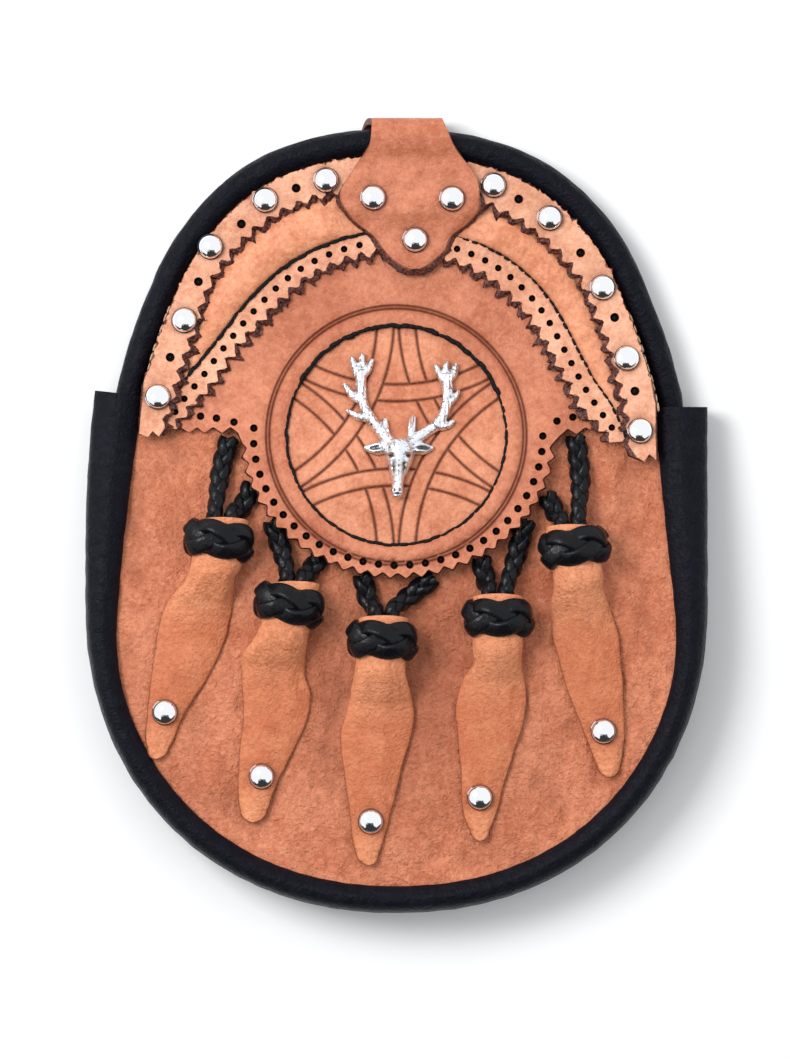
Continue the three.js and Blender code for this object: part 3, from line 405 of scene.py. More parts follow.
def along(points, count):
    """Points at even steps on a smooth curve through the given ones."""
    points = np.asarray(points, float)
    walked = walk(points)
    fine_steps = max(24 * len(points), 4 * count)
    return even(table_curve(np.c_[walked, points], np.linspace(0, walked[-1], fine_steps)), count)


def to_left(line):
    """Unit vectors to the left of a plan line's direction of travel."""
    ahead = unit(np.gradient(line, axis=0))
    return np.column_stack([-ahead[:, 1], ahead[:, 0]])


def unevenness(x, y, length, seed):
    """A smooth roughness of about -1 to 1: the sum of plane waves with seeded directions, lengths and phases,
    divided by the root of their number."""
    waves = 16
    rng = np.random.default_rng(seed)
    turn = rng.uniform(0, 2 * np.pi, waves)
    pace = 2 * np.pi / (length * rng.uniform(0.6, 1.7, waves))
    phase = rng.uniform(0, 2 * np.pi, waves)
    total = sum(np.sin(p * (x * np.cos(a) + y * np.sin(a)) + f) for a, p, f in zip(turn, pace, phase))
    return total / math.sqrt(waves)


def fade(distance, reach):
    """exp(-(distance / reach)^2)."""
    return np.exp(-(distance / reach) ** 2)


def bell(x, y, at, across, up):
    """exp(-(dx / across)^2 - (dy / up)^2) about a spot."""
    return np.exp(-((x - at[0]) / across) ** 2 - ((y - at[1]) / up) ** 2)


def near(x, y, spots, reach):
    """The sum of bells exp(-(distance / reach)^2) about the given spots."""
    return sum(np.exp(-((x - sx) ** 2 + (y - sy) ** 2) / reach ** 2) for sx, sy in spots)


def moved(spots, x, y):
    """Spots moved together, such as to the upper side of each rivet."""
    return [(spot_x + x, spot_y + y) for spot_x, spot_y in spots]


def grid_faces(rows, columns, wrap_rows=False):
    """Four-sided faces of a grid of points stored row by row, whose rows are closed rings and which may close
    on itself the other way too."""
    i = np.arange(rows if wrap_rows else rows - 1)[:, None]
    j = np.arange(columns)[None, :]
    i2, j2 = (i + 1) % rows, (j + 1) % columns
    corners = [i * columns + j, i * columns + j2, i2 * columns + j2, i2 * columns + j]
    return np.stack(corners, axis=-1).reshape(-1, 4)


def paired_ends(rows, count):
    """Faces that close both ends of a grid of closed rings, each point joined across to its opposite one."""
    pairs = np.arange(count // 2 - 1)
    back = count - 1 - pairs
    last = (rows - 1) * count
    return [
        np.column_stack([pairs + 1, pairs, back, back - 1]),
        np.column_stack([last + pairs, last + pairs + 1, last + back - 1, last + back]),
    ]


def fan_ends(rows, count):
    """Faces that close both ends of a grid of closed rings to the two points that follow the grid."""
    ring = np.arange(count)
    ahead = (ring + 1) % count
    last = (rows - 1) * count
    return [
        np.column_stack([np.full(count, rows * count), ahead, ring]),
        np.column_stack([np.full(count, rows * count + 1), last + ring, last + ahead]),
    ]


def ringed(rings):
    """A grid of closed rings as a solid with paired ends."""
    return rings, [grid_faces(*rings.shape[:2])] + paired_ends(*rings.shape[:2])


def closed_sheet(face, back):
    """A thin solid between two grids of the same shape: each ring runs along the face's row and returns along
    the back's."""
    return ringed(np.concatenate([face, back[:, ::-1]], axis=1))


def repeated(one, count, size):
    """The faces of count like shells of size points each, stored one after the other."""
    starts = size * np.arange(count)
    return [(block[None] + starts[:, None, None]).reshape(-1, block.shape[1]) for block in one]


def tube_faces(rows, sides):
    """A short tube's faces with a flat face over each end."""
    ring = np.arange(sides)
    return [grid_faces(rows, sides), ring[None, ::-1], (rows - 1) * sides + ring[None]]


def volume(points, faces):
    """Signed volume: a sixth of the sum of a . (b x c) over each face's triangles."""
    total = 0.0
    for block in faces:
        for k in range(1, block.shape[1] - 1):
            a, b, c = points[block[:, 0]], points[block[:, k]], points[block[:, k + 1]]
            total += np.einsum("ij,ij->i", a, np.cross(b, c)).sum()
    return total / 6


class Skin:
    """Closed shells gathered for one piece, with a number from 0 to 1 at each point for each mark: raw for a
    cut edge, and on a leaf's face for a painted shadow line along its edges; tooled for a groove; shade for
    painted shade in hollows, round rivets and the casting's foot, along edges and between parts, for a leaf's
    browner waist, and for tarnish in the casting's hollows; hole for the painted shade of the cones in punched holes."""

    MARKS = ("raw", "tooled", "shade", "hole")

    def __init__(self):
        self.points = []
        self.faces = []
        self.marks = {mark: [] for mark in self.MARKS}
        self.count = 0

    def add(self, points, faces, **marks):
        """Adds a shell, turned round if its faces point inward."""
        points = np.asarray(points, float).reshape(-1, 3)
        if volume(points, faces) < 0:
            faces = [block[:, ::-1] for block in faces]
        self.points.append(points)
        self.faces += [block + self.count for block in faces]
        for mark in self.MARKS:
            value = np.broadcast_to(np.ravel(marks.get(mark, 0.0)), len(points))
            self.marks[mark].append(np.clip(value, 0, 1))
        self.count += len(points)
        return self


def make_piece(name, skin, look, node=None, sharp=CUT_EDGES):
    """Turns a skin into a mesh object at the origin that rides on the part's body, in one of the finishes."""
    mesh = bpy.data.meshes.new(name)
    faces = [row for block in skin.faces for row in block.tolist()]
    mesh.from_pydata((np.vstack(skin.points) * MM).tolist(), [], faces)
    for mark, values in skin.marks.items():
        layer = mesh.attributes.new(mark, "FLOAT", "POINT")
        layer.data.foreach_set("value", np.concatenate(values).astype(np.float32))
    mesh.shade_smooth()
    if sharp:
        mesh.set_sharp_from_angle(angle=math.radians(sharp))
    slot, material = finish(look)
    mesh.materials.append(material)
    piece = bpy.data.objects.new(name, mesh)
    bpy.context.scene.collection.objects.link(piece)
    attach(piece, BODY)
    if node:
        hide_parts(node)
    return piece


def carried(path, side, rise, profile, closed=False):
    """A profile carried along a path: point = path + side * u + rise * v. The profile is a closed loop of
    (u, v), the same all along or one for each step. Open ends are closed to their middles."""
    steps, count = len(path), np.shape(profile)[-2]
    side, rise = (np.broadcast_to(way, path.shape)[:, None] for way in (side, rise))
    profile = np.broadcast_to(profile, (steps, count, 2))
    points = (path[:, None] + side * profile[..., :1] + rise * profile[..., 1:]).reshape(-1, 3)
    faces = [grid_faces(steps, count, wrap_rows=closed)]
    if not closed:
        points = np.vstack([points, points[:count].mean(0), points[-count:].mean(0)])
        faces += fan_ends(steps, count)
    return points, faces


def oval(half_width, half_height, sides, power):
    """A closed superellipse: |u / a|^p + |v / b|^p = 1."""
    turn = full_turn(sides)
    c, s = np.cos(turn), np.sin(turn)
    u = half_width * np.sign(c) * np.abs(c) ** (2 / power)
    v = half_height * np.sign(s) * np.abs(s) ** (2 / power)
    return np.column_stack([u, v])


def ellipse(x, y, across, up, turn):
    """Points about a centre at each turn, in radians."""
    return np.stack([x + across * np.cos(turn), y + up * np.sin(turn)], axis=-1)


def hole_sides(radius):
    """How many sides a punched hole gets."""
    return max(14, int(4 * radius))


def hole_loop(x, y, radius):
    """The rim of a punched hole, clockwise."""
    return ellipse(x, y, radius, radius, -full_turn(hole_sides(radius)))


def lattice(outline, pitch):
    """Points of a triangular lattice over the outline's box, none of them on the box's own sides."""
    low, high = outline.min(0) + [0.3 * pitch, 0.4 * pitch], outline.max(0)
    rows = np.arange(low[1], high[1], pitch * math.sqrt(0.75))
    columns = np.arange(low[0], high[0], pitch)
    x, y = np.meshgrid(columns, rows)
    x = x + 0.5 * pitch * (np.arange(len(rows)) % 2)[:, None]
    return np.column_stack([x.ravel(), y.ravel()])


def clear_of(points, others, distance):
    """The points that lie at least a distance from all the others."""
    keep = np.ones(len(points), bool)
    for block in np.array_split(others, max(1, len(others) // 64)):
        gap = np.linalg.norm(points[:, None] - block[None], axis=-1).min(1)
        keep &= gap > distance
    return points[keep]


def filled_plan(loops, cuts, pitch, extra):
    """A plan's points, its triangles, and where each loop's points are among them. It is inside the first loop
    and outside the cuts, and filled with a lattice, which makes room for extra points."""
    edge_points = np.vstack(loops)
    inner = lattice(loops[0], pitch)
    if extra is not None:
        inner = np.vstack([clear_of(inner, extra, 0.7 * pitch), extra])
    inner = clear_of(inner, edge_points, 0.5 * min(pitch, 1.0))
    for x, y, radius in cuts:
        inner = inner[np.hypot(inner[:, 0] - x, inner[:, 1] - y) > radius]
    plan = np.vstack([edge_points, inner])
    starts = np.cumsum([0] + [len(loop) for loop in loops])
    rings = [np.arange(a, b) for a, b in zip(starts[:-1], starts[1:])]
    edges = np.vstack([np.column_stack([ring, np.roll(ring, -1)]) for ring in rings])
    made = delaunay_2d_cdt([tuple(p) for p in plan.tolist()], edges.tolist(), [], 1, 1e-7)
    flat = np.array([tuple(p) for p in made[0]])
    triangles = np.array([face for face in made[2] if len(face) == 3])
    index = np.zeros(len(plan), int)
    index[np.concatenate(made[3]).astype(int)] = np.repeat(np.arange(len(flat)), [len(old) for old in made[3]])
    centre = flat[triangles].mean(1)
    keep = np.ones(len(triangles), bool)
    for x, y, radius in cuts:
        inside = radius * (1 - 8 / hole_sides(radius) ** 2)
        keep &= np.hypot(centre[:, 0] - x, centre[:, 1] - y) > inside
    used, triangles = np.unique(triangles[keep], return_inverse=True)
    place = np.full(len(flat), -1)
    place[used] = np.arange(len(used))
    return flat[used], triangles.reshape(-1, 3), [place[index[ring]] for ring in rings], len(plan)


def no_flare(x, y):
    """A cut edge that goes straight down."""
    return np.zeros((len(x), 2))


def cut_sheet(outline, pitch, foot, head, holes=(), window=(), flare=no_flare, marks=None, extra=None, fuzz=0.0):
    """A piece cut from a sheet of leather, inside the outline and outside the round holes and window
    (x, y, radius). The face is z = head(x, y) and the underside z = foot(x, y). Each cut edge is a profile
    carried round it, from the face down and out by flare(x, y), frayed by the fuzz. A punched hole gets a black cone
    at its bottom, painted shade."""
    cuts = [*holes, *window]
    loops = [np.asarray(outline, float)] + [hole_loop(*cut) for cut in cuts]
    flat, triangles, rings, seed = filled_plan(loops, cuts, pitch, extra)
    x, y = flat.T
    top = np.column_stack([x, y, head(x, y)])
    under = np.column_stack([x, y, foot(x, y)])
    rng = np.random.default_rng(seed)
    walls, wall_faces = [], []
    count = 2 * len(flat)
    for number, loop in enumerate(rings):
        edge = top[loop]
        if number:
            out = HOLE_SLOPE * unit(np.array(cuts[number - 1][:2]) - edge[:, :2])
        else:
            out = flare(edge[:, 0], edge[:, 1])
        under[loop, :2] = edge[:, :2] + out
        under[loop, 2] = foot(*under[loop, :2].T)
        ids = [loop]
        for share in CUT_SHARES:
            row = edge + (under[loop] - edge) * share
            row[:, :2] += out * 0.25 * math.sin(math.pi * share)
            row += rng.normal(0, fuzz, row.shape) * (0 if number else 1)
            walls.append(row)
            ids.append(count + np.arange(len(loop)))
            count += len(loop)
        ids.append(len(flat) + loop)
        for upper, lower in zip(ids[:-1], ids[1:]):
            wall_faces.append(np.column_stack([upper, lower, np.roll(lower, -1), np.roll(upper, -1)]))
    points = np.vstack([top, under] + walls)
    beyond = np.zeros(len(points) - len(flat))
    values = {key: np.r_[value, beyond] for key, value in (marks(x, y) if marks else {}).items()}
    faces = [triangles, triangles[:, ::-1] + len(flat)] + wall_faces
    skin = Skin().add(points, faces, raw=np.r_[np.zeros(len(flat)), beyond + 1], **values)
    return skin.add(*painted_shade_cones(holes, foot), hole=1.0) if len(holes) else skin


def painted_shade_cones(holes, foot):
    """A black cone in each punched hole, painted shade: from its wall at the bottom up to a point, which sends no
    light back.
    """
    sides = 14
    x, y, radius = np.array(holes).T[:, :, None]
    turn = full_turn(sides)[None]
    rings = []
    for share, above in ((1.0, 0.05), (1.0, 0.15), (0.08, 1.25)):
        ring_x, ring_y = x + share * (radius - 0.08) * np.cos(turn), y + share * (radius - 0.08) * np.sin(turn)
        rings.append(np.stack([ring_x, ring_y, foot(ring_x, ring_y) + above], axis=-1))
    return np.stack(rings, axis=1), repeated(tube_faces(3, sides), len(holes), 3 * sides)


# Heights of the object's surfaces above the table

def front_face(x, y):
    """The front panel's face: full at full_y, falling as squares toward the mouth, the bottom and the sides."""
    away = y - FRONT_FACE["full_y"]
    toward_mouth = FRONT_FACE["mouth_drop"] * (away / FRONT_FACE["mouth_reach"]) ** 2
    toward_bottom = FRONT_BOTTOM["drop"] * (away / FRONT_BOTTOM["reach"]) ** 2
    drop = np.where(away > 0, toward_mouth, toward_bottom)
    return FRONT_FACE["top"] - drop - CROWN["height"] * (x / CROWN["half_width"]) ** 2


def back_foot(x, y):
    """Underside of the back panel, which steps up over the belt loop."""
    return HANGER_STEP["height"] * smooth((y - HANGER_STEP["from"]) / HANGER_STEP["over"]) + 0 * x


def flap_foot(x, y):
    """Underside of the flap: on the front panel below the mouth and curving down to the back above it, with
    the lobe lifted by the plaits under its edge."""
    beside = smooth((np.abs(x) - LOBE_LIFT["full_to"]) / LOBE_LIFT["fade"])
    lift = LOBE_LIFT["height"] * smooth((LOBE_LIFT["top"] - y) / LOBE_LIFT["over"]) * (1 - beside)
    up = np.maximum(y - MOUTH_Y, 0)
    over = front_face(0 * x, MOUTH_Y + 0 * y) - FLAP_SLOPE["fall"] * up + FLAP_SLOPE["curve"] * up ** 2
    over = over - CROWN["height"] * (x / CROWN["half_width"]) ** 2
    return np.where(y <= MOUTH_Y, front_face(x, y), over) + GAP + lift


def raised(height, by):
    """A height function moved up by a distance."""
    return lambda x, y: height(x, y) + by


def tab_foot(x, y):
    """Underside of the tab over the strip, stepping up onto the rivet band."""
    over_band = BAND_FOOT + BAND_LEATHER + GAP + SEAT
    over_strip = OVERLAY_FOOT + OVERLAY_LEATHER + GAP
    step = smooth((y - TAB_STEP["y"]) / TAB_STEP["over"])
    return flap_foot(x, y) + over_strip + (over_band - over_strip) * step


# Plan lines of the pouch and the flap

def arch_at(angle):
    """Radii of the rim, band, seam and strip at each angle."""
    return table_curve(ARCH, angle).T


def polar(radius, angle):
    """Points about the roundel's centre at angles in degrees."""
    return ellipse(ROUNDEL["x"], ROUNDEL["y"], radius, radius, np.radians(angle))


def from_roundel(x, y):
    """Distance from the roundel's centre."""
    return np.hypot(x - ROUNDEL["x"], y - ROUNDEL["y"])


def arch_line(column, start, end, count, inward=0.0):
    """The plan line of one of the arch's columns between two angles, or of a line inside it."""
    angle = np.linspace(start, end, count)
    return polar(arch_at(angle)[column] - inward, angle)


def body_half_width(y, left):
    """Half width of the pouch: w (1 - (below / w)^p)^(1/p) under the straight sides, tapered at the left top."""
    below = np.clip((BODY_BOTTOM_Y - y) / BODY_HALF_WIDTH, 0, 1)
    round_width = BODY_HALF_WIDTH * (1 - below ** BODY_ROUNDNESS) ** (1 / BODY_ROUNDNESS)
    above = np.maximum(y - LEFT_TAPER["above"], 0) / LEFT_TAPER["reach"]
    return round_width - (LEFT_TAPER["narrowing"] * above ** 2 if left else 0)


def body_line(top, side_steps, bottom_steps, lower=0.0):
    """From the left top down, round the superellipse of the bottom and up to the right top."""
    left_y = np.linspace(top["left"] - lower, BODY_BOTTOM_Y, side_steps, endpoint=False)
    right_y = np.linspace(BODY_BOTTOM_Y, top["right"] - lower, side_steps + 1)[1:]
    turn = np.linspace(math.pi, 2 * math.pi, bottom_steps + 1)
    power = 2 / BODY_ROUNDNESS
    c, s = np.cos(turn), np.sin(turn)
    x = BODY_HALF_WIDTH * np.sign(c) * np.abs(c) ** power
    y = BODY_BOTTOM_Y - BODY_HALF_WIDTH * np.abs(s) ** power
    return np.vstack([
        np.column_stack([-body_half_width(left_y, True), left_y]),
        np.column_stack([x, y]),
        np.column_stack([body_half_width(right_y, False), right_y]),
    ])


def pinked(points, teeth, depth, sharpness=0.95):
    """A zigzag edge cut by hand: even points moved to the line's left by half the depth times a softened
    triangle wave, with slightly uneven teeth."""
    per_tooth = 8
    line = along(points, teeth * per_tooth + 1)
    depth = depth * (1 + 0.14 * unevenness(*line.T, 7, 301)) + 0.10 * unevenness(*line.T, 1.7, 302)
    phase = 2 * np.pi * np.arange(len(line)) / per_tooth + 0.22 * unevenness(*line.T, 9, 303)
    wave = -np.arcsin(sharpness * np.cos(phase)) / math.asin(sharpness)
    return line + to_left(line) * (0.5 * depth * wave)[:, None]


def flap_side(ends, count=90, wobble=0.0):
    """The flap's outer edge beside the rim, from its right end up and over to its left end."""
    angle = np.linspace(FLAP_SHOULDER["from"], FLAP_SHOULDER["to"], count)
    wave = wobble * (unevenness(angle, 0 * angle, 1.5, 304) - 0.8)
    inside = polar(arch_at(angle)[RIM_LINE] - RIM["width"] - GAP + wave, angle)
    return np.vstack([
        [FLAP_SIDE["right"], ends["right"]], FLAP_SHOULDER["right"], inside,
        FLAP_SHOULDER["left"], [FLAP_SIDE["left"], ends["left"]],
    ])


def lobe_line(across, down, start, end):
    """The lobe's ellipse between two angles."""
    return ellipse(LOBE["x"], LOBE["y"], across, down, np.radians(np.linspace(start, end, 60)))


def strip_hole_spots():
    """Centres of the strip's holes, at even steps midway between its edges."""
    rows = []
    for side in ("left", "right"):
        angle = np.linspace(*STRIP_HOLES[side], 16)
        _, _, seam, strip = arch_at(angle)
        rows.append(along(polar((seam + strip) / 2, angle), STRIP_HOLES["each_side"]))
    return np.vstack(rows)


def lobe_hole_spots():
    """Centres of the lobe's holes: one at each tooth, and the row beside it on each side."""
    line = lobe_line(LOBE["holes_across"], LOBE["holes_down"], 176.5, 360)
    return np.vstack([along(line, TEETH["lobe"]), SIDE_HOLES])


def punched(spots, name):
    """Round holes of one of the settings' radii."""
    return [(x, y, mm(name)) for x, y in spots]


def outward_from(centre, reach, wobble):
    """A sideways step away from a centre, or toward it where the reach is negative, a little uneven."""
    def step(x, y):
        away = unit(np.column_stack([x - centre[0], y - centre[1]]))
        size = reach * (1 + wobble * unevenness(x, y, 3.0, 5))
        return away * size[:, None]
    return step


def raw_slope(limit):
    """A raw edge that slopes toward the roundel where it is nearer to it than limit(rim, band, seam, strip)."""
    def flare(x, y):
        angle = np.degrees(np.arctan2(y - ROUNDEL["y"], x - ROUNDEL["x"]))
        angle = np.where(angle < -90, angle + 360, angle)
        inside = from_roundel(x, y) < limit(*arch_at(angle))
        return outward_from((ROUNDEL["x"], ROUNDEL["y"]), -mm("raw_edge"), 0.45)(x, y) * inside[:, None]
    return flare


# Finishes

class Nodes:
    """Makes the nodes of one tree."""

    def __init__(self, tree):
        self.tree = tree

    def node(self, kind, output, settings=None, **sockets):
        """A new node with its settings and input sockets, by name or by position as _0, _1."""
        made = self.tree.nodes.new("ShaderNode" + kind)
        for key, value in (settings or {}).items():
            setattr(made, key, value)
        for key, value in sockets.items():
            socket = made.inputs[int(key[1:]) if key[0] == "_" else key]
            if isinstance(value, bpy.types.NodeSocket):
                self.tree.links.new(value, socket)
            else:
                socket.default_value = value
        return made.outputs[output]

    def ramp(self, value, low, high, start=0.0, end=1.0):
        """A value stretched from low..high to start..end, clamped."""
        return self.node("MapRange", 0, _0=value, _1=low, _2=high, _3=start, _4=end)

    def maths(self, operation, a, b):
        """A sum, or the greater, of two values."""
        return self.node("Math", 0, {"operation": operation}, _0=a, _1=b)


class Recipe(Nodes):
    """A material's nodes around one Principled shader, with constants set on its own sockets."""

    def __init__(self, name, **constants):
        self.material = bpy.data.materials.new(name)
        self.material.use_nodes = True
        super().__init__(self.material.node_tree)
        self.shader = self.tree.nodes["Principled BSDF"]
        for socket, value in constants.items():
            self.shader.inputs[socket.replace("_", " ")].default_value = value
        self.place = self.node("TexCoord", "Object")

    def noise(self, size, detail=3.0, roughness=0.6, warp=0.0):
        """Noise whose patches are about a size across, in millimetres."""
        return self.node(
            "TexNoise", "Fac", Vector=self.place, Scale=1 / (size * MM), Detail=detail, Roughness=roughness,
            Distortion=warp)

    def cells(self, size):
        """Distance in a cell pattern whose cells are about a size across, in millimetres."""
        return self.node("TexVoronoi", "Distance", Vector=self.place, Scale=1 / (size * MM))

    def mix(self, share, a, b):
        """A blend of two colours."""
        a, b = (one if isinstance(one, bpy.types.NodeSocket) else (*one, 1.0) for one in (a, b))
        return self.node("Mix", 2, {"data_type": "RGBA"}, _0=share, _6=a, _7=b)

    def mark(self, name):
        """A mark of the skin."""
        return self.node("Attribute", "Fac", {"attribute_name": name})

    def bump(self, height, depth, strength=1.0, **below):
        """A bump of a depth in millimetres, on top of another one given as Normal."""
        return self.node("Bump", "Normal", Height=height, Distance=depth * MM, Strength=strength, **below)

    def finished(self, **sockets):
        """The material, with what was worked out linked to its shader."""
        for socket, value in sockets.items():
            self.tree.links.new(value, self.shader.inputs[socket.replace("_", " ")])
        return self.material


def lighter(colour, times, plus=0.0):
    """A colour times a number, plus another one, up to nearly white."""
    return [min(0.95, times * v + plus) for v in colour]


def blended(share, a, b):
    """A mix of two colours of the settings."""
    return [share * one + (1 - share) * other for one, other in zip(a, b)]


def leather(name, face, grain=1.0, creases=0.0, mottle=1.0, painted_shade=(0.55, 0.55, 0.55)):
    """Natural leather: a face mottled toward its low tone, with pores, fine creases and pale flecks, dark raw
    edges and darker tooled lines. Where it is creased, the hollows get painted shade. Less mottle brings the
    blotches to their middle tone, and painted_shade is the share of the low tone that the shade mark brings in,
    mostly as painted shade."""
    c = bpy.context.scene.sporran_colours
    low = [share * v for share, v in zip((0.66, 0.50, 0.42), face)]
    r = Recipe(name, Specular_IOR_Level=0.36)
    even_tone = 0.5 * (1 - mottle)
    wide = r.ramp(r.noise(24, 3, 0.55), 0.40, 0.62, 0.46 * even_tone, 0.46 * (1 - even_tone))
    patches = r.ramp(r.noise(5.5, 4, 0.6, 0.5), 0.40, 0.62, 0.40 * even_tone, 0.40 * (1 - even_tone))
    specks = r.ramp(r.noise(1.4, 4, 0.7, 0.4), 0.42, 0.62, 0, 0.42)
    tone = r.maths("ADD", r.maths("ADD", wide, patches), specks)
    pores = r.bump(r.cells(0.75), 0.10 * grain, 0.8)
    skin_grain = r.bump(r.noise(1.5, 5, 0.66, 0.6), 0.45 * grain, 0.9, Normal=pores)
    if creases:
        fine, broad = r.noise(2.4, 4, 0.62, 1.0), r.noise(7.0, 4, 0.6, 0.7)
        skin_grain = r.bump(fine, 1.0 * creases, 0.9, Normal=skin_grain)
        skin_grain = r.bump(broad, 1.7 * creases, 0.9, Normal=skin_grain)
        # Painted shade in the crease hollows
        tone = r.maths("ADD", tone, r.ramp(fine, 0.50, 0.36, 0, 0.45 * creases))
    frayed = r.mix(r.ramp(r.noise(0.8, 3, 0.8), 0.44, 0.62), c.raw, [8.0 * v for v in c.raw])
    colour = r.mix(tone, face, low)
    for share, over in (
            (r.ramp(r.noise(2.0, 4, 0.7), 0.58, 0.70, 0, 0.35), lighter(face, 1.25, 0.03)),
            # Painted shade from the shade mark, toward a share of the low tone
            (r.ramp(r.mark("shade"), 0, 1, 0, 0.85), [a * b for a, b in zip(painted_shade, low)]),
            (r.mark("tooled"), c.tooled),
            (r.ramp(r.mark("raw"), 0.15, 0.6), frayed),
            # painted shade on the black cones in the punched holes
            (r.mark("hole"), HOLE_PAINTED_SHADE)):
        colour = r.mix(share, colour, over)
    return r.finished(
        Base_Color=colour, Roughness=r.ramp(r.noise(2.2), 0.3, 0.7, 0.42, 0.64), Normal=skin_grain)


def black_leather(name, colour, roughness, grain, shine):
    """Soft black garment leather with a fine pebble and a faint blue sheen."""
    r = Recipe(
        name, Specular_IOR_Level=shine, Sheen_Weight=0.02, Sheen_Roughness=0.4,
        Sheen_Tint=(0.55, 0.62, 0.9, 1.0))
    pebble = r.bump(r.cells(0.9), 0.20 * grain, 0.9)
    return r.finished(
        Base_Color=r.mix(r.ramp(r.noise(3.0, 4), 0.4, 0.7), colour, lighter(colour, 1.9)),
        Roughness=r.ramp(r.noise(1.6), 0.3, 0.7, roughness - 0.05, roughness + 0.08),
        Normal=r.bump(r.noise(2.6, 5, 0.64, 0.8), 0.60 * grain, 0.9, Normal=pebble))


def metal(name, colour, roughness, tarnish_and_shade, specks=0.0):
    """Polished metal, darkened where the shade mark says so, and with dark specks if it is cast. The darkening
    is tarnish in the casting's hollows, and painted shade round the foot of the casting and of each rivet cap.
    """
    r = Recipe(name, Metallic=1.0)
    dark = r.ramp(r.mark("shade"), 0, 1, 0, tarnish_and_shade)
    if specks:
        dark = r.maths("MAXIMUM", dark, r.ramp(r.noise(0.9), 0.60, 0.66, 0, specks))
    return r.finished(
        Base_Color=r.mix(dark, colour, TARNISH_AND_PAINTED_SHADE),
        Roughness=r.ramp(r.noise(1.2), 0.35, 0.75, roughness, roughness * 1.6),
        Normal=r.bump(r.noise(1.0), 0.012 if roughness < 0.1 else 0.05))


def spun_thread(name, colour):
    """Waxed thread with a fine twist."""
    r = Recipe(name, Specular_IOR_Level=0.08, Roughness=0.6)
    return r.finished(
        Base_Color=r.mix(r.ramp(r.noise(0.5), 0.35, 0.7), colour, lighter(colour, 1.8)),
        Normal=r.bump(r.noise(0.35), 0.08))


def pale_floor(name, colour):
    """A plain matt floor with a very faint unevenness."""
    r = Recipe(name, Roughness=0.9, Specular_IOR_Level=0.1)
    return r.finished(
        Base_Color=r.mix(r.ramp(r.noise(60, 2, 0.55), 0.3, 0.7), colour, [0.985 * v for v in colour]))


# Each finish: the record's material slot, and how its material is made from the colours
FINISHES = {
    "band": ("tan_leather", lambda c: leather("band_leather", c.band, 0.8)),
    "pad": ("tan_leather", lambda c: leather("pad_leather", c.pad, 0.8)),
    "flap": ("tan_leather", lambda c: leather("flap_leather", c.flap)),
    "roundel": ("tan_leather", lambda c: leather("roundel_leather", blended(0.45, c.pad, c.flap))),
    "leaf": ("tan_leather", lambda c: leather("leaf_leather", c.leaf, 1.9, 0, 0.45, (0.76, 0.54, 0.43))),
    "panel": ("tan_panel_leather", lambda c: leather("creased_panel_leather", c.panel, 1.9, 0.55, 0.8)),
    "black": ("black_leather", lambda c: black_leather("black_leather", c.black, 0.46, 1.0, 0.10)),
    "lace": ("black_lace", lambda c: black_leather("black_lace", c.lace, 0.25, 0.35, 0.20)),
    "nickel": ("nickel", lambda c: metal("polished_nickel", c.nickel, 0.035, 0.96)),
    "silver": ("cast_silver", lambda c: metal("cast_silver", c.silver, 0.26, 0.92, 0.9)),
    "thread": ("black_lace", lambda c: spun_thread("black_thread", c.black_thread)),
    "cream": ("tan_leather", lambda c: spun_thread("cream_thread", c.cream)),
    "floor": (None, lambda c: pale_floor("pale_floor", c.floor)),
}


def finish(look):
    """A finish's slot and its material, which is made the first time that it is asked for."""
    slot, made = FINISHES[look]
    if callable(made):
        made = made(bpy.context.scene.sporran_colours)
        FINISHES[look] = slot, made
    return slot, made


# Pieces of the pouch

def gusset_skin():
    """The gusset's section carried along the pouch's outline: each point is its share of the roll's width plus
    an inset inward, at its level. The section's corners are rounded and the roll is slightly creased."""
    line = even(body_line(GUSSET_TOP, 30, 240), 260)
    inward = to_left(line)
    x, y = line.T
    gain = np.where(x < 0, GUSSET_ROLL["left"], GUSSET_ROLL["right"])
    width = GUSSET_ROLL["width"] + gain * smooth((y - GUSSET_ROLL["from"]) / GUSSET_ROLL["over"])
    top = front_face(x, y) + GUSSET_ROLL["rise"]
    foot = back_foot(x, y) + BACK_LEATHER + GAP
    lip = front_face(*(line + inward * width[:, None]).T) + GAP + SEAT
    levels = {"foot": foot, "middle": (foot + top) / 2, "top": top, "lip": lip}
    section = np.stack([
        np.column_stack([share * width + inset, levels[place] + above])
        for share, inset, place, above in GUSSET_SECTION], axis=1)
    fine = np.roll(round_loop(section, 5), 2, axis=1)
    walked = GUSSET_ROLL["length"] * np.linspace(0, 1, len(line))[:, None]
    around = np.linspace(0, 1, fine.shape[1])[None]
    swell = 0.05 * unevenness(walked, 40 * around, 9.0, 11) + 0.05 * unevenness(2.2 * walked, 9 * around, 11.0, 12)
    fine = fine + swell[..., None] * outward_of(fine)
    plan = line[:, None] + inward[:, None] * fine[..., :1]
    return Skin().add(*ringed(np.concatenate([plan, fine[..., 1:]], axis=-1)))


def round_loop(loops, times):
    """Closed loops with more points: cubic curves through each loop's corners, whose slope at a corner is a
    share of the chord between its neighbours."""
    before, after, beyond = (np.roll(loops, step, axis=1) for step in (1, -1, -2))
    slope = 0.38 * (after - before)
    next_slope = 0.38 * (beyond - loops)
    t = (np.arange(times) / times)[None, None, :, None]
    ease = t * t * (3 - 2 * t)
    fine = (
        loops[:, :, None] * (1 - ease) + after[:, :, None] * ease
        + slope[:, :, None] * t * (1 - t) ** 2 + next_slope[:, :, None] * t * t * (t - 1))
    return fine.reshape(loops.shape[0], -1, 2)


def outward_of(loops):
    """Unit normals of closed loops in their own plane, pointing out."""
    following = np.roll(loops, -1, axis=1)
    ahead = following - np.roll(loops, 1, axis=1)
    normal = unit(np.stack([ahead[..., 1], -ahead[..., 0]], axis=-1))
    area = (loops[..., 0] * following[..., 1] - loops[..., 1] * following[..., 0]).sum(1)
    return normal * np.sign(area)[:, None, None]


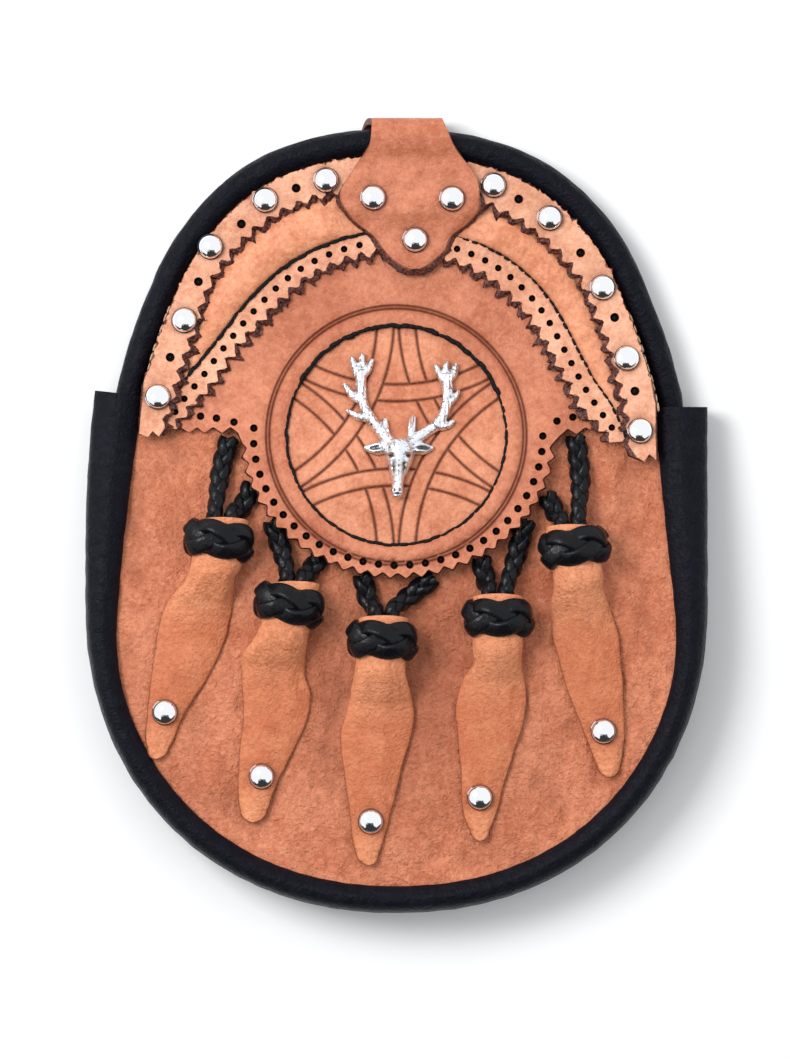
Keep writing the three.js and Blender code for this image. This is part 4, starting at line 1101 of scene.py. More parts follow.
def back_skin():
    """The flat back panel, inside the gusset and the rim."""
    lower = body_line(SHOULDER, 20, 150)
    lower = lower + to_left(lower) * BACK_INSET
    upper = arch_line(RIM_LINE, RIM["from"], RIM["to"], 120, RIM["width"] + GAP)
    upper[0, 1], upper[-1, 1] = SHOULDER["right"], SHOULDER["left"]
    face = lambda x, y: back_foot(x, y) + BACK_LEATHER + 0.12 * unevenness(x, y, 30, 21)
    return cut_sheet(np.vstack([lower, upper]), PITCH["back"], back_foot, face)


def panel_relief(x, y):
    """Dents as stretched bells, and soft folds that run up and down between the tassels."""
    relief = 0.40 * unevenness(x, y, 16, 31) + 0.22 * unevenness(x, 0.45 * y, 5.0, 32)
    for dent_x, dent_y, across, up, turn, depth in PANEL_DENTS:
        c, s = math.cos(math.radians(turn)), math.sin(math.radians(turn))
        u = (x - dent_x) * c + (y - dent_y) * s
        v = (y - dent_y) * c - (x - dent_x) * s
        relief = relief - depth * bell(u, v, (0, 0), across, up)
    return np.minimum(relief, PANEL_SWELL)


def front_skin():
    """The domed front panel, creased, tucked under the gusset's lip all round."""
    outline = body_line(SHOULDER, 16, 130, 0.5)
    outline = outline + to_left(outline) * FRONT_INSET
    face = lambda x, y: front_face(x, y) + panel_relief(x, y)

    # Painted shade in the dents, between the tassels and along the left side beside the gusset
    def painted_shade(x, y):
        left_side = fade(x + 74, 14)
        between_tassels = bell(x, y, (4, -52), 40, 36)
        hollow = 0.5 * smooth((-panel_relief(x, y) - 0.1) / 1.4)
        return {"shade": hollow + 0.62 * between_tassels + 0.16 * left_side}

    return cut_sheet(outline, PITCH["panel"], raised(face, -PANEL_LEATHER), face, marks=painted_shade)


def rim_skin():
    """The padded rim: an oval carried along the arch, flattened under, a little creased, with closed ends."""
    half = RIM["width"] / 2
    centre = arch_line(RIM_LINE, RIM["from"], RIM["to"], 330, half)
    path = level(centre, HANGER_STEP["height"] + SEAT + RIM["height"] / 2)
    side = level(unit(centre - [ROUNDEL["x"], ROUNDEL["y"]]))
    loop = oval(half, RIM["height"] / 2, 40, 2.2)
    walked = np.linspace(0, 300, len(centre))[:, None]
    around = np.linspace(0, 26, len(loop), endpoint=False)[None]
    swell = 0.05 * unevenness(walked, 2.0 * around, 8.0, 41) + 0.05 * unevenness(0.35 * walked, 3.0 * around, 5.0, 42)
    return Skin().add(*carried(path, side, UP, loop[None] * (1 + swell[..., None] / half)))


# Pieces of the flap

def ring_lines(x, y, width):
    """Bells across the two tooled rings round the roundel."""
    return sum(fade(from_roundel(x, y) - ring, width) for ring in RING_GROOVES)


def flap_relief(x, y):
    """The two tooled rings round the roundel, the soft ring inside them, and wide soft unevenness."""
    grooves = ring_lines(x, y, 0.7 * mm("groove_width"))
    middle = 0.5 * (ROUNDEL["window"] + RING_GROOVES[1])
    soft = 0.55 * np.exp(-((from_roundel(x, y) - middle) / 1.9) ** 4)
    return soft - 0.75 * mm("groove_depth") * grooves + 0.22 * unevenness(x, y, 26, 51)


def flap_skin():
    """The flap: pinked lobe and side edges, punched holes, the roundel's window, and two tooled rings."""
    left, right = (pinked(edge, TEETH["side"], TEETH["side_depth"]) for edge in (LEFT_EDGE, RIGHT_EDGE))
    lobe_edge = lobe_line(LOBE["across"], LOBE["down"], 182, 358)
    lobe = pinked(lobe_edge, TEETH["lobe"], 0.8 * mm("tooth_depth"), 0.9)
    step = mm("groove_width")
    radii = np.array([ring + k * step for ring in RING_GROOVES for k in (-1.2, -0.5, 0, 0.5, 1.2)])
    rings = ellipse(ROUNDEL["x"], ROUNDEL["y"], radii[:, None], radii[:, None], full_turn(420)).reshape(-1, 2)
    return cut_sheet(
        np.vstack([flap_side(FLAP_END), left[1:], lobe, right[:-1]]), PITCH["flap"], flap_foot,
        lambda x, y: flap_foot(x, y) + FLAP_LEATHER + flap_relief(x, y),
        holes=punched(lobe_hole_spots(), "lobe_hole"), window=[tuple(ROUNDEL.values())],
        flare=outward_from((LOBE["x"], LOBE["y"]), 0.55, 0.3),
        marks=lambda x, y: {"tooled": 0.85 * ring_lines(x, y, step)}, extra=rings, fuzz=0.05)


def strap_grooves(x, y):
    """The medallion's six straps: each is a circular arc that bends toward the middle, with a tooled line along
    both edges. A strap rubs out the lines under it, so that the straps pass over and under each other."""
    end = math.radians(STRAP["end_spread"])
    end_along, end_aside = STRAP["end_radius"] * math.cos(end), STRAP["end_radius"] * math.sin(end)
    nearest = STRAP["nearest"]
    offset = (end_along ** 2 + end_aside ** 2 - nearest ** 2) / (2 * (end_along - nearest))
    lines = np.zeros(np.shape(x))
    for angle in STRAP_ORDER:
        centre_x, centre_y = polar(offset, angle)
        aside = np.abs(np.hypot(x - centre_x, y - centre_y) - (offset - nearest))
        lines = np.where(aside < STRAP["half_width"], 0, lines)
        lines = np.maximum(lines, fade(aside - STRAP["half_width"], mm("groove_width")))
    return lines


def medallion_skin():
    """The tooled roundel inside the window, slightly domed."""
    radius = ROUNDEL["window"] - GAP

    def face(x, y):
        dome = 0.5 * (1 - (from_roundel(x, y) / radius) ** 6)
        lift = MEDALLION_LEATHER - 0.35 + dome
        return flap_foot(x, y) + lift - mm("groove_depth") * strap_grooves(x, y)

    outline = hole_loop(ROUNDEL["x"], ROUNDEL["y"], radius)[::-1]
    marks = lambda x, y: {"tooled": strap_grooves(x, y)}
    return cut_sheet(outline, PITCH["medallion"], flap_foot, face, marks=marks)


def crescent_skin():
    """The padded overlay: across its width it bulges as a root of a sine between the seam and the band, with
    fine cross wrinkles on the right, and runs on flat under the band to the rim."""
    angle = np.linspace(-3, 178, 420)[:, None]
    rim, band, seam, _ = arch_at(angle[:, 0])[..., None]
    start = seam + GAP
    end = np.minimum(rim - RIM["width"] - GAP, CROWN["half_width"] / np.abs(np.cos(np.radians(angle))))
    width = np.maximum(band - 0.5 * mm("tooth_depth") - 0.4 - start, 0.9)
    seam_x = polar(seam, angle)[..., 0]
    full = smooth((width - BULGE["from"]) / BULGE["width"])
    full = full * smooth((np.abs(seam_x - BULGE["middle_x"]) - BULGE["clear"]) / BULGE["over"])
    share = np.linspace(0, 1, 34)[None]
    covered = start + width + np.linspace(0.1, 1, 8)[None] * (end - start - width)
    radii = np.hstack([start + share * width, covered])
    bulge = np.hstack([np.abs(np.sin(np.pi * share)) ** 0.6 * full, 0 * covered])
    x, y = np.moveaxis(polar(radii, angle), -1, 0)
    wrinkles = smooth((x - 18) / 14) * unevenness(1.15 * angle, 0.12 * radii, 2.4, 61)
    under = flap_foot(x, y) + OVERLAY_FOOT
    face = under + OVERLAY_LEATHER
    face = face + (BULGE["height"] + 0.13 * wrinkles + 0.15 * unevenness(x, y, 7, 62)) * bulge
    # Painted shade toward both edges of the bulge
    shade = np.zeros((len(angle), 2 * radii.shape[1]))
    shade[:, :share.size] = 0.4 * fade(np.minimum(share, 1 - share) * width, 0.9)
    rings = closed_sheet(np.stack([x, y, face], axis=-1), np.stack([x, y, under], axis=-1))
    return Skin().add(*rings, shade=shade)


def strip_skin():
    """The punched strip: smooth along the seam, pinked inside, its raw edge sloping toward the roundel."""
    outer = arch_line(SEAM_LINE, -1.5, 178, 160)
    inner = pinked(arch_line(STRIP_LINE, 178, -1.5, 60), TEETH["strip"], mm("tooth_depth"))
    foot = raised(flap_foot, OVERLAY_FOOT)
    return cut_sheet(
        np.vstack([outer, inner]), PITCH["strip"], foot,
        lambda x, y: foot(x, y) + OVERLAY_LEATHER + 0.10 * unevenness(x, y, 9, 71),
        holes=punched(strip_hole_spots(), "strip_hole"), fuzz=RAW_FUZZ,
        flare=raw_slope(lambda rim, band, seam, strip: 0.5 * (seam + strip)))


def band_skin():
    """The riveted band along the rim, pinked inside, with a hole between each two rivets. The leather is drawn
    down at each rivet and swells between them."""
    inner = pinked(arch_line(BAND_LINE, 178, -2, 70), TEETH["band"], mm("tooth_depth"))
    foot = raised(flap_foot, BAND_FOOT)

    def face(x, y):
        return foot(x, y) + BAND_LEATHER - 0.75 * near(x, y, BAND_RIVETS, 5.2) + 0.12 * unevenness(x, y, 8, 81)

    # Painted shade above each rivet and round it
    def shaded(x, y):
        above = moved(BAND_RIVETS, -0.6, 3.7)
        return {"shade": 0.55 * near(x, y, above, 2.2) + 0.20 * near(x, y, BAND_RIVETS, 4.4)}

    return cut_sheet(
        np.vstack([flap_side(BAND_END, 360, 0.22), BAND_LEFT_TIP, inner, BAND_RIGHT_TIP]), PITCH["band"], foot, face,
        holes=punched(BAND_HOLES, "band_hole"), fuzz=RAW_FUZZ, marks=shaded,
        flare=raw_slope(lambda rim, band, seam, strip: band + 2.5))


def tab_skin():
    """The tab: a flat section carried up the front, over the top edge and down the back. Its sides follow the
    tables, its face dips at the rivets, and its cut edges turn down and spread toward the tip."""
    front = [(y, float(tab_foot((left + right) / 2, y)) + TAB_LEATHER / 2, left, right)
             for y, left, right in TAB_FRONT]
    stations = np.array(front + TAB_FOLD)
    walked = walk(stations[:, :2])
    at = np.r_[walked[1] * np.linspace(0, 1, 14)[:-1], np.linspace(walked[1], walked[-1], 300)]
    y, z, left, right = table_curve(np.c_[walked, stations], at).T[..., None]
    ahead = unit(np.gradient(np.hstack([y, z]), at, axis=0))
    ahead_y, ahead_z = ahead[:, :1], ahead[:, 1:]
    share = np.linspace(0, 1, 56)[None]
    x = left + (right - left) * share
    on_front = smooth((walked[len(front) - 1] - at) / 4.0)[:, None]
    at_tip = (1 - smooth((y - TAB_FRONT[0][0]) / 7)) * on_front
    droop = 0.55 * fade(np.minimum(share, 1 - share) * (right - left), 1.5) * on_front
    crown = 0.16 * unevenness(x, y, 7, 91) * on_front
    lift = TAB_LEATHER / 2 - 0.8 * near(x, y, TAB_RIVETS, 4.8) * on_front - droop + crown
    sunk = -TAB_LEATHER / 2 - 0.15 * droop
    flare = 1.8 * (1 - smooth((y - 93) / 6)) * on_front
    low_x = x + flare * (2 * share - 1) + 0.2 * unevenness(x, y, 1.6, 92) * on_front
    top = np.stack([x, y - ahead_z * lift + 1.1 * at_tip, z + ahead_y * lift], axis=-1)
    low = np.stack([low_x, y - ahead_z * sunk - 0.6 * at_tip, z + ahead_y * sunk], axis=-1)
    raw = np.hstack([0 * x, 1 + 0 * x])
    raw[:, [0, share.size - 1]] = 0.4
    raw[0] = 0.6
    # Painted shade above each rivet and round it
    shade = 0.40 * near(x, y, moved(TAB_RIVETS, -0.3, 3.9), 2.2) + 0.06 * near(x, y, TAB_RIVETS, 4.2)
    return Skin().add(*closed_sheet(top, low), raw=raw, shade=np.hstack([shade * on_front, 0 * x]))


# Rivets, the casting and the tassels

def seated(points, height, x, y, clearance, turn=0.0):
    """Points turned about Z, tilted so that Z lies along the normal of a height function, from its slopes over
    a few millimetres, and set above it."""
    step = 2.0
    slope_x = float(height(x + step, y) - height(x - step, y)) / (2 * step)
    slope_y = float(height(x, y + step) - height(x, y - step)) / (2 * step)
    nx, ny, nz = normal = unit(np.array([-slope_x, -slope_y, 1.0]))
    c, s = math.cos(math.radians(turn)), math.sin(math.radians(turn))
    spun = points @ np.array([[c, -s, 0], [s, c, 0], [0, 0, 1]]).T
    tilt = np.array([
        [1 - nx * nx / (1 + nz), -nx * ny / (1 + nz), nx],
        [-nx * ny / (1 + nz), 1 - ny * ny / (1 + nz), ny],
        [-nx, -ny, nz],
    ])
    return spun @ tilt.T + [x, y, float(height(x, y))] + normal * clearance


def cap_skin(height, x, y, clearance):
    """A domed cap: a half ellipse spun about its axis over a short wall, whose skirt goes down into the
    leather. Each leans a few degrees its own way, as set by hand."""
    radius, tall, wall, skirt, sides = mm("cap_radius"), mm("cap_height"), 0.3, 0.6, 56
    rise = np.linspace(math.pi / 2, 0, 20)[1:]
    foot = radius + 0.24
    r = np.r_[radius * np.cos(rise), radius, foot, foot, radius - 0.35][:, None]
    z = np.r_[wall + (tall - wall) * np.sin(rise), 0.14, 0.06, -skirt, -skirt - 0.1][:, None]
    turn = full_turn(sides)
    rings = np.stack([r * np.cos(turn), r * np.sin(turn), z + 0 * turn], axis=-1)
    points = np.vstack([rings.reshape(-1, 3), [[0, 0, tall], [0, 0, -skirt - 0.1]]])
    lean = np.radians(np.random.default_rng(int(5000 + 7 * x + 13 * y)).uniform(-5, 5, 2))
    points = points + np.cross([*lean, 0.0], points)
    # Painted shade round the cap's foot, which the metal darkens
    shade = np.r_[np.repeat(np.r_[np.zeros(len(r) - 4), np.ones(4)], sides), 0, 1]
    faces = [grid_faces(len(r), sides)] + fan_ends(len(r), sides)
    return Skin().add(seated(points, height, x, y, clearance), faces, shade=shade)


def limb_shell(stations):
    """One tapering limb of the casting: half an ellipse over a flat foot, swept along the stations, which are
    joined by a smooth curve."""
    line = along(np.asarray(stations, float) + [0, 0, CAST_SWELL], max(8, 5 * len(stations)))
    radius = line[:, 2:]
    tall = 0.5 + 1.1 * radius
    turn = np.linspace(0, math.pi, 13)
    across = np.hstack([radius * np.cos(turn), radius * 0.6 * np.cos(turn[::-1][1:-1])])
    up = np.hstack([tall * np.sin(turn), np.full((len(line), 11), -0.6)])
    return carried(level(line[:, :2]), level(to_left(line[:, :2])), UP, np.stack([across, up], axis=-1))


def joined_casting():
    """The limbs run together by a fine voxel remesh, as the points, faces and edges of one shell."""
    skin = Skin()
    for stations in STAG_LIMBS.values():
        skin.add(*limb_shell(stations))
    mesh = bpy.data.meshes.new("casting_rough")
    mesh.from_pydata(np.vstack(skin.points).tolist(), [], [row for block in skin.faces for row in block.tolist()])
    rough = bpy.data.objects.new("casting_rough", mesh)
    bpy.context.scene.collection.objects.link(rough)
    remesh = rough.modifiers.new("join", "REMESH")
    remesh.mode = "VOXEL"
    remesh.voxel_size = CAST_VOXEL
    joined = bpy.data.meshes.new_from_object(rough.evaluated_get(bpy.context.evaluated_depsgraph_get()))
    read = []
    for of, key, each, kind in (
            (joined.vertices, "co", 3, float), (joined.loops, "vertex_index", 1, int),
            (joined.edges, "vertices", 2, int)):
        values = np.empty(each * len(of), kind)
        of.foreach_get(key, values)
        read.append(values)
    bpy.data.objects.remove(rough)
    for done in (mesh, joined):
        bpy.data.meshes.remove(done)
    return read[0].reshape(-1, 3), read[1].reshape(-1, 4), read[2].reshape(-1, 2)


def relaxed(points, edges, rounds):
    """Each point moved half way to the middle of its neighbours, a number of times."""
    count = np.zeros(len(points))
    np.add.at(count, edges.ravel(), 1)
    for _ in range(rounds):
        total = np.zeros(points.shape)
        for one, other in (edges.T, edges.T[::-1]):
            np.add.at(total, one, points[other])
        points = 0.5 * points + 0.5 * total / count[:, None]
    return points


def stag_skin():
    """The cast head: limbs joined and smoothed, then cut with bells for its chasing and with grooves along the
    antlers, and flat underneath."""
    points, faces, edges = joined_casting()
    x, y, z = relaxed(points, edges, 2).T
    dip = np.zeros(len(points))
    for depth, spots, across, up in STAG_CHASING.values():
        for spot in spots:
            dip += depth * bell(x, y, spot, across, up)
    on_antler = smooth((y + 1.0) / 1.5) + smooth((np.abs(x - 1.5) - 11.5) / 1.0)
    groove = unevenness(3.0 * x, 0.35 * y, 2.6, 101) + 0.6 * unevenness(x, y, 1.4, 102)
    dip += 0.16 * np.clip(on_antler, 0, 1) * groove
    dip += 0.22 * bell(x, y, (1.0, -2.8), 2.6, 1.5) * unevenness(3.4 * x, 0.8 * y, 2.2, 103)
    dip += 0.05 * unevenness(x, y, 1.0, 104)
    points = np.column_stack([x, y, np.maximum(z - dip * smooth(z / 1.5), 0.0)])
    # Darker low round the foot, painted shade where the casting meets the leather, and tarnished in the chased
    # hollows
    shade = 0.55 * (1 - smooth((z - 0.1) / 0.9)) + 1.15 * smooth((dip - 0.10) / 0.5)
    base = raised(flap_foot, MEDALLION_LEATHER)
    return Skin().add(seated(points, base, ROUNDEL["x"], ROUNDEL["y"], 0.6), [faces], shade=shade)


def blade_rows(tassel):
    """The blade's edges by height: three rows along the knot's axis, then the blade's own."""
    turn = math.radians(tassel["turn"])
    knot_x, knot_y = tassel["knot"]
    neck = []
    for distance in (NECK["above_knot"], 0, -KNOT["half_length"] - 1):
        x, y = knot_x - math.sin(turn) * distance, knot_y + math.cos(turn) * distance
        neck.append((y, x - NECK["half_width"], x + NECK["half_width"]))
    return np.array(neck + tassel["blade"])


def blade_section(tassel, y):
    """Centre, half width, wrap angle, half height and middle height of the blade where it crosses each y."""
    rows = blade_rows(tassel)
    left, right = table_curve(rows * [-1, 1, 1], -y).T
    share = (rows[0, 0] - y) / (rows[0, 0] - rows[-1, 0])
    wrap, half, clearance = table_curve(BLADE_FORM, share).T
    angle = np.radians(wrap)
    lowest = np.where(angle > math.pi / 2, half, half - NECK["wall"]) * np.cos(angle)
    centre = (left + right) / 2
    return centre, (right - left) / 2, angle, half, front_face(centre, y) + clearance - lowest


def blade_top(tassel):
    """The blade's height along its middle, for its rivet."""
    def height(x, y):
        _, _, _, half, middle = blade_section(tassel, np.atleast_1d(np.asarray(y, float)))
        return (middle + half)[0]
    return height


def blade_skin(tassel, number):
    """A rolled neck that opens into a curved leaf: at each y a wall follows an ellipse's arc through the wrap
    angle, and the tip is rounded off. Gathers run out of the knot and fade, the leather dips at the rivet, and
    the leaf is browner and darker at its waist. Painted shade lies in the gathers' hollows and above the rivet,
    and a painted shadow line runs along the leaf's edges."""
    rows = blade_rows(tassel)
    tip_y = rows[-1, 0] - 0.3
    shoulder = tip_y + BLADE_TIP
    round_y = shoulder - BLADE_TIP * np.sin(np.linspace(0, 0.49 * math.pi, 26))
    y = np.r_[np.linspace(rows[0, 0], shoulder, 110)[:-1], round_y]
    centre, across, angle, half, middle = (value[:, None] for value in blade_section(tassel, y))
    y = y[:, None]
    beyond = np.maximum(shoulder - y, 0) / BLADE_TIP
    at_shoulder = len(y) - len(round_y)
    in_tip = beyond > 0
    rounding = np.sqrt(np.maximum(1 - beyond ** 2, 0.002))
    radius = across / np.sin(np.minimum(angle, math.pi / 2))
    radius = np.where(in_tip, radius[at_shoulder], radius)
    angle = np.where(in_tip, np.arcsin(np.clip(np.sin(angle[at_shoulder]) * rounding, 0, 1)), angle)
    across = np.where(in_tip, across[at_shoulder] * rounding, across)
    middle = middle - 0.2 * beyond ** 2
    wall = np.minimum(NECK["wall"], 0.25 + 0.6 * across)
    turn = angle * np.linspace(-1, 1, 41)[None]
    below = tassel["knot"][1] - y
    gathered = smooth((below - 5) / 3) * (1 - smooth((below - 8) / 14))
    phase = 1.7 * number
    folds = np.cos(6.5 * turn + phase) + 0.6 * np.cos(11 * turn + 2.3 * phase + 0.05 * below)
    x = centre + radius * np.sin(turn)
    edge = across * (1 - np.abs(turn) / angle)
    relief = 0.14 * gathered * folds + 0.16 * unevenness(x, 0.6 * y, 6, 110 + number)
    relief = relief - 0.55 * near(x, y, [tassel["rivet"]], 4.6) - 0.25 * fade(edge, 0.6)
    curled = 1.3 * (np.maximum(np.cos(turn), 0) - 0.5) * (1 - smooth((rows[0, 0] - y) / 6))

    def arc(out):
        across_arc, up_arc = (radius + out) * np.sin(turn), (half + out) * np.cos(turn)
        return np.stack([centre + across_arc, y + curled, middle + up_arc], axis=-1)

    # A painted shadow line on the face along the leaf's edges, in the raw mark
    raw = np.hstack([0.46 * fade(edge, 0.62) * smooth((below - 10) / 8), 0.4 + 0 * turn])
    # Painted shade in the gathers' hollows and above the rivet
    shade = 0.06 * gathered * smooth(-folds / 1.5) + 0.4 * near(x, y, moved([tassel["rivet"]], -0.4, 3.9), 2.4)
    # Browner and darker at the waist
    waist = smooth((below - 14) / 14) * smooth((y - tip_y - 4) / 8)
    shade = shade + 0.75 * waist * (0.85 + 0.12 * unevenness(x, y, 9, 140 + number))
    # The painted shadow line along the edges
    shade = np.maximum(shade, fade(edge, 0.75))
    sheet = closed_sheet(arc(relief), arc(0.5 * relief - wall))
    return Skin().add(*sheet, raw=raw, shade=np.hstack([shade, 0 * shade]))


def strand(centre, across, rise, phase, sway, form, closed=False):
    """One strand of a plait: centre + across * (lateral sin phase) + rise * (bob sin 2 phase). Its flat face
    rolls outward at the plait's edges."""
    lateral, bob, roll = sway
    path = centre + across * (lateral * np.sin(phase))[:, None] + rise * (bob * np.sin(2 * phase))[:, None]
    step = np.roll(path, -1, axis=0) - np.roll(path, 1, axis=0) if closed else np.gradient(path, axis=0)
    ahead = unit(step)
    lean = (roll * np.sin(phase))[:, None]
    face = rise * np.cos(lean) + across * np.sin(lean)
    face = unit(face - ahead * (face * ahead).sum(1)[:, None])
    return carried(path, np.cross(ahead, face), face, oval(*form), closed)


def plait_skin(tassel, side, bend_and_top):
    """A leg plaited of three strands, from inside the neck, over the knot's top and down to the panel under the
    flap's edge."""
    turn = math.radians(tassel["turn"])
    knot = np.array(tassel["knot"])
    axis = np.array([-math.sin(turn), math.cos(turn)])
    start = knot + side * LEG["apart"] * np.array([math.cos(turn), math.sin(turn)])
    low = LEG["height"] / 2 + GAP + SEAT
    spots = [(start + axis * distance, LEG["start_height"]) for distance in LEG["start"]]
    spots += zip(bend_and_top, (low + LEG["bend_lift"], low))
    centre = along([[*spot, float(front_face(*spot)) + height] for spot, height in spots], 130)
    ahead = unit(np.gradient(centre, axis=0))
    across = unit(level(np.column_stack([-ahead[:, 1], ahead[:, 0]])))
    rise = np.cross(ahead, -across)
    rise = rise * np.sign(rise[:, 2:])
    walked = walk(centre)
    open_out = 0.62 + 0.38 * smooth((walked / walked[-1] - 0.25) / 0.4)
    lateral, bob, roll = LEG["sway"]
    skin = Skin()
    for third in range(3):
        phase = 2 * np.pi * (walked / LEG["turn"] + third / 3 + 0.13 * knot[0])
        skin.add(*strand(centre, across, rise, phase, (lateral * open_out, bob, roll), LEG["strand"]))
    return skin


def knot_skin(tassel):
    """A woven ring of three leads and five bights: one strand goes three times round an oval, and weaves from
    side to side five times. A plain band inside closes the gaps between the turns."""
    a, b = KNOT["half_width"], KNOT["half_depth"]
    axis = np.array([0.0, 1.0, 0.0])

    def ring(turn, shrink):
        spot = np.column_stack([(a - shrink) * np.cos(turn), 0 * turn, (b - shrink) * np.sin(turn)])
        return spot, unit(np.column_stack([b * np.cos(turn), 0 * turn, a * np.sin(turn)]))

    around = KNOT["leads"] * full_turn(540)
    phase = around * KNOT["bights"] / KNOT["leads"] + 0.9 * tassel["knot"][0]
    centre, out = ring(around, 0.0)
    woven = strand(centre, axis, out, phase, KNOT["sway"], KNOT["strand"], True)
    centre, out = ring(full_turn(72), KNOT["band_inset"])
    band = carried(centre, axis, out, oval(*KNOT["band"]), True)
    skin = Skin()
    for points, faces in (woven, band):
        skin.add(seated(points, front_face, *tassel["knot"], KNOT["above"], tassel["turn"]), faces)
    return skin


# Stitching

def stitches(line, height, length, gap, radius, seed):
    """A row of hand stitches along a plan line: each is a short tube that rises out of the leather, arches and
    goes back in, a little uneven in place, length and thickness."""
    rng = np.random.default_rng(seed)
    walked = walk(line)
    count = int((walked[-1] - length) / (length + gap))
    middle = length / 2 + (length + gap) * np.arange(count) + rng.uniform(-0.12, 0.12, count) * length
    t = np.array([-1, -0.8, -0.4, 0, 0.4, 0.8, 1])[None]
    span = (0.5 * length * rng.uniform(0.85, 1.12, count))[:, None]
    at = np.clip(middle[:, None] + t * span, 0, walked[-1])
    x, y = (np.interp(at, walked, line[:, k]) for k in (0, 1))
    ahead = unit(np.stack([np.gradient(x, axis=1), np.gradient(y, axis=1)], axis=-1))
    shift = rng.uniform(-0.35, 0.35, count)[:, None] * radius + 0.3 * radius * t * rng.uniform(-1, 1, (count, 1))
    x = x - ahead[..., 1] * shift
    y = y + ahead[..., 0] * shift
    thick = (radius * rng.uniform(0.8, 1.2, (count, 1)) * (1 - 0.75 * t ** 6))[..., None]
    z = height(x, y) + 0.55 * radius * (1 - t ** 2) - STITCH_SINK * t ** 4
    turn = full_turn(STITCH_SIDES)
    points = np.stack([
        x[..., None] - ahead[..., 1:] * thick * np.cos(turn),
        y[..., None] + ahead[..., :1] * thick * np.cos(turn),
        z[..., None] + thick * np.sin(turn),
    ], axis=-1)
    return points, repeated(tube_faces(t.size, STITCH_SIDES), count, t.size * STITCH_SIDES)


# Operators

class SPORRAN_OT_pouch(bpy.types.Operator):
    """Back panel, bent gusset and creased front panel"""

    bl_idname = "sporran.pouch"
    bl_label = "Pouch"

    def execute(self, context):
        make_piece("flat_back_panel", back_skin(), "black", "back_panel")
        make_piece("bent_gusset", gusset_skin(), "black", "gusset", SOFT_EDGES)
        make_piece("creased_front_panel", front_skin(), "panel", "front_panel")
        return {"FINISHED"}


class SPORRAN_OT_rim(bpy.types.Operator):
    """Padded rim round the top of the back"""

    bl_idname = "sporran.rim"
    bl_label = "Padded rim"

    def execute(self, context):
        rim = make_piece("padded_rim", rim_skin(), "black", "rim", NO_EDGES)
        return {"FINISHED"}


class SPORRAN_OT_flap(bpy.types.Operator):
    """Flap with a pinked lobe, and the tooled medallion in its window"""

    bl_idname = "sporran.flap"
    bl_label = "Flap and medallion"

    def execute(self, context):
        make_piece("pinked_flap", flap_skin(), "flap", "flap_panel")
        make_piece("tooled_medallion", medallion_skin(), "roundel", "medallion", SOFT_EDGES)
        return {"FINISHED"}


class SPORRAN_OT_overlays(bpy.types.Operator):
    """Punched strip, padded crescent and riveted band on the flap"""

    bl_idname = "sporran.overlays"
    bl_label = "Flap overlays"

    def execute(self, context):
        make_piece("punched_strip", strip_skin(), "band", "inner_strip")
        pad = make_piece("stuffed_crescent", crescent_skin(), "pad", "crescent_pad", SOFT_EDGES)
        make_piece("riveted_band", band_skin(), "band", "rivet_band")
        return {"FINISHED"}


class SPORRAN_OT_tab(bpy.types.Operator):
    """Tab that folds over the top and runs down the back as a belt loop"""

    bl_idname = "sporran.tab"
    bl_label = "Tab"

    def execute(self, context):
        make_piece("folded_tab", tab_skin(), "flap", "tab_strap")
        return {"FINISHED"}


class SPORRAN_OT_rivets(bpy.types.Operator):
    """Domed rivet caps on the band, the tab and the tassels"""

    bl_idname = "sporran.rivets"
    bl_label = "Rivets"

    def execute(self, context):
        band_top, tab_top = raised(flap_foot, BAND_FOOT + BAND_LEATHER), raised(tab_foot, TAB_LEATHER)
        sets = {
            "band": [(band_top, *spot, CAP_SEAT["band"]) for spot in BAND_RIVETS],
            "tab": [(tab_top, *spot, CAP_SEAT["tab"]) for spot in TAB_RIVETS],
            "tassel": [(blade_top(tassel), *tassel["rivet"], CAP_SEAT["tassel"]) for tassel in TASSELS],
        }
        for on, caps in sets.items():
            for number, cap in enumerate(caps, 1):
                make_piece(f"{on}_cap_{number}", cap_skin(*cap), "nickel", f"{on}_rivet_{number}", SOFT_EDGES)
        return {"FINISHED"}


class SPORRAN_OT_stag(bpy.types.Operator):
    """Cast stag head on the medallion"""

    bl_idname = "sporran.stag"
    bl_label = "Stag head"

    def execute(self, context):
        make_piece("cast_stag", stag_skin(), "silver", "stag_head", CAST_EDGES)
        return {"FINISHED"}


class SPORRAN_OT_tassels(bpy.types.Operator):
    """Five tassels: a rolled leather blade, a woven knot and two plaited legs each"""

    bl_idname = "sporran.tassels"
    bl_label = "Tassels"

    def execute(self, context):
        for n, tassel in enumerate(TASSELS, 1):
            make_piece(f"tassel_leaf_{n}", blade_skin(tassel, n), "leaf", f"tassel_blade_{n}")
            make_piece(f"woven_knot_{n}", knot_skin(tassel), "lace", f"tassel_knot_{n}", NO_EDGES)
            for side, hand, ends in zip((-1, 1), ("left", "right"), tassel["legs"]):
                leg = plait_skin(tassel, side, ends)
                make_piece(f"plait_{n}_{hand}", leg, "lace", f"braid_{n}_{hand}", NO_EDGES)
        return {"FINISHED"}


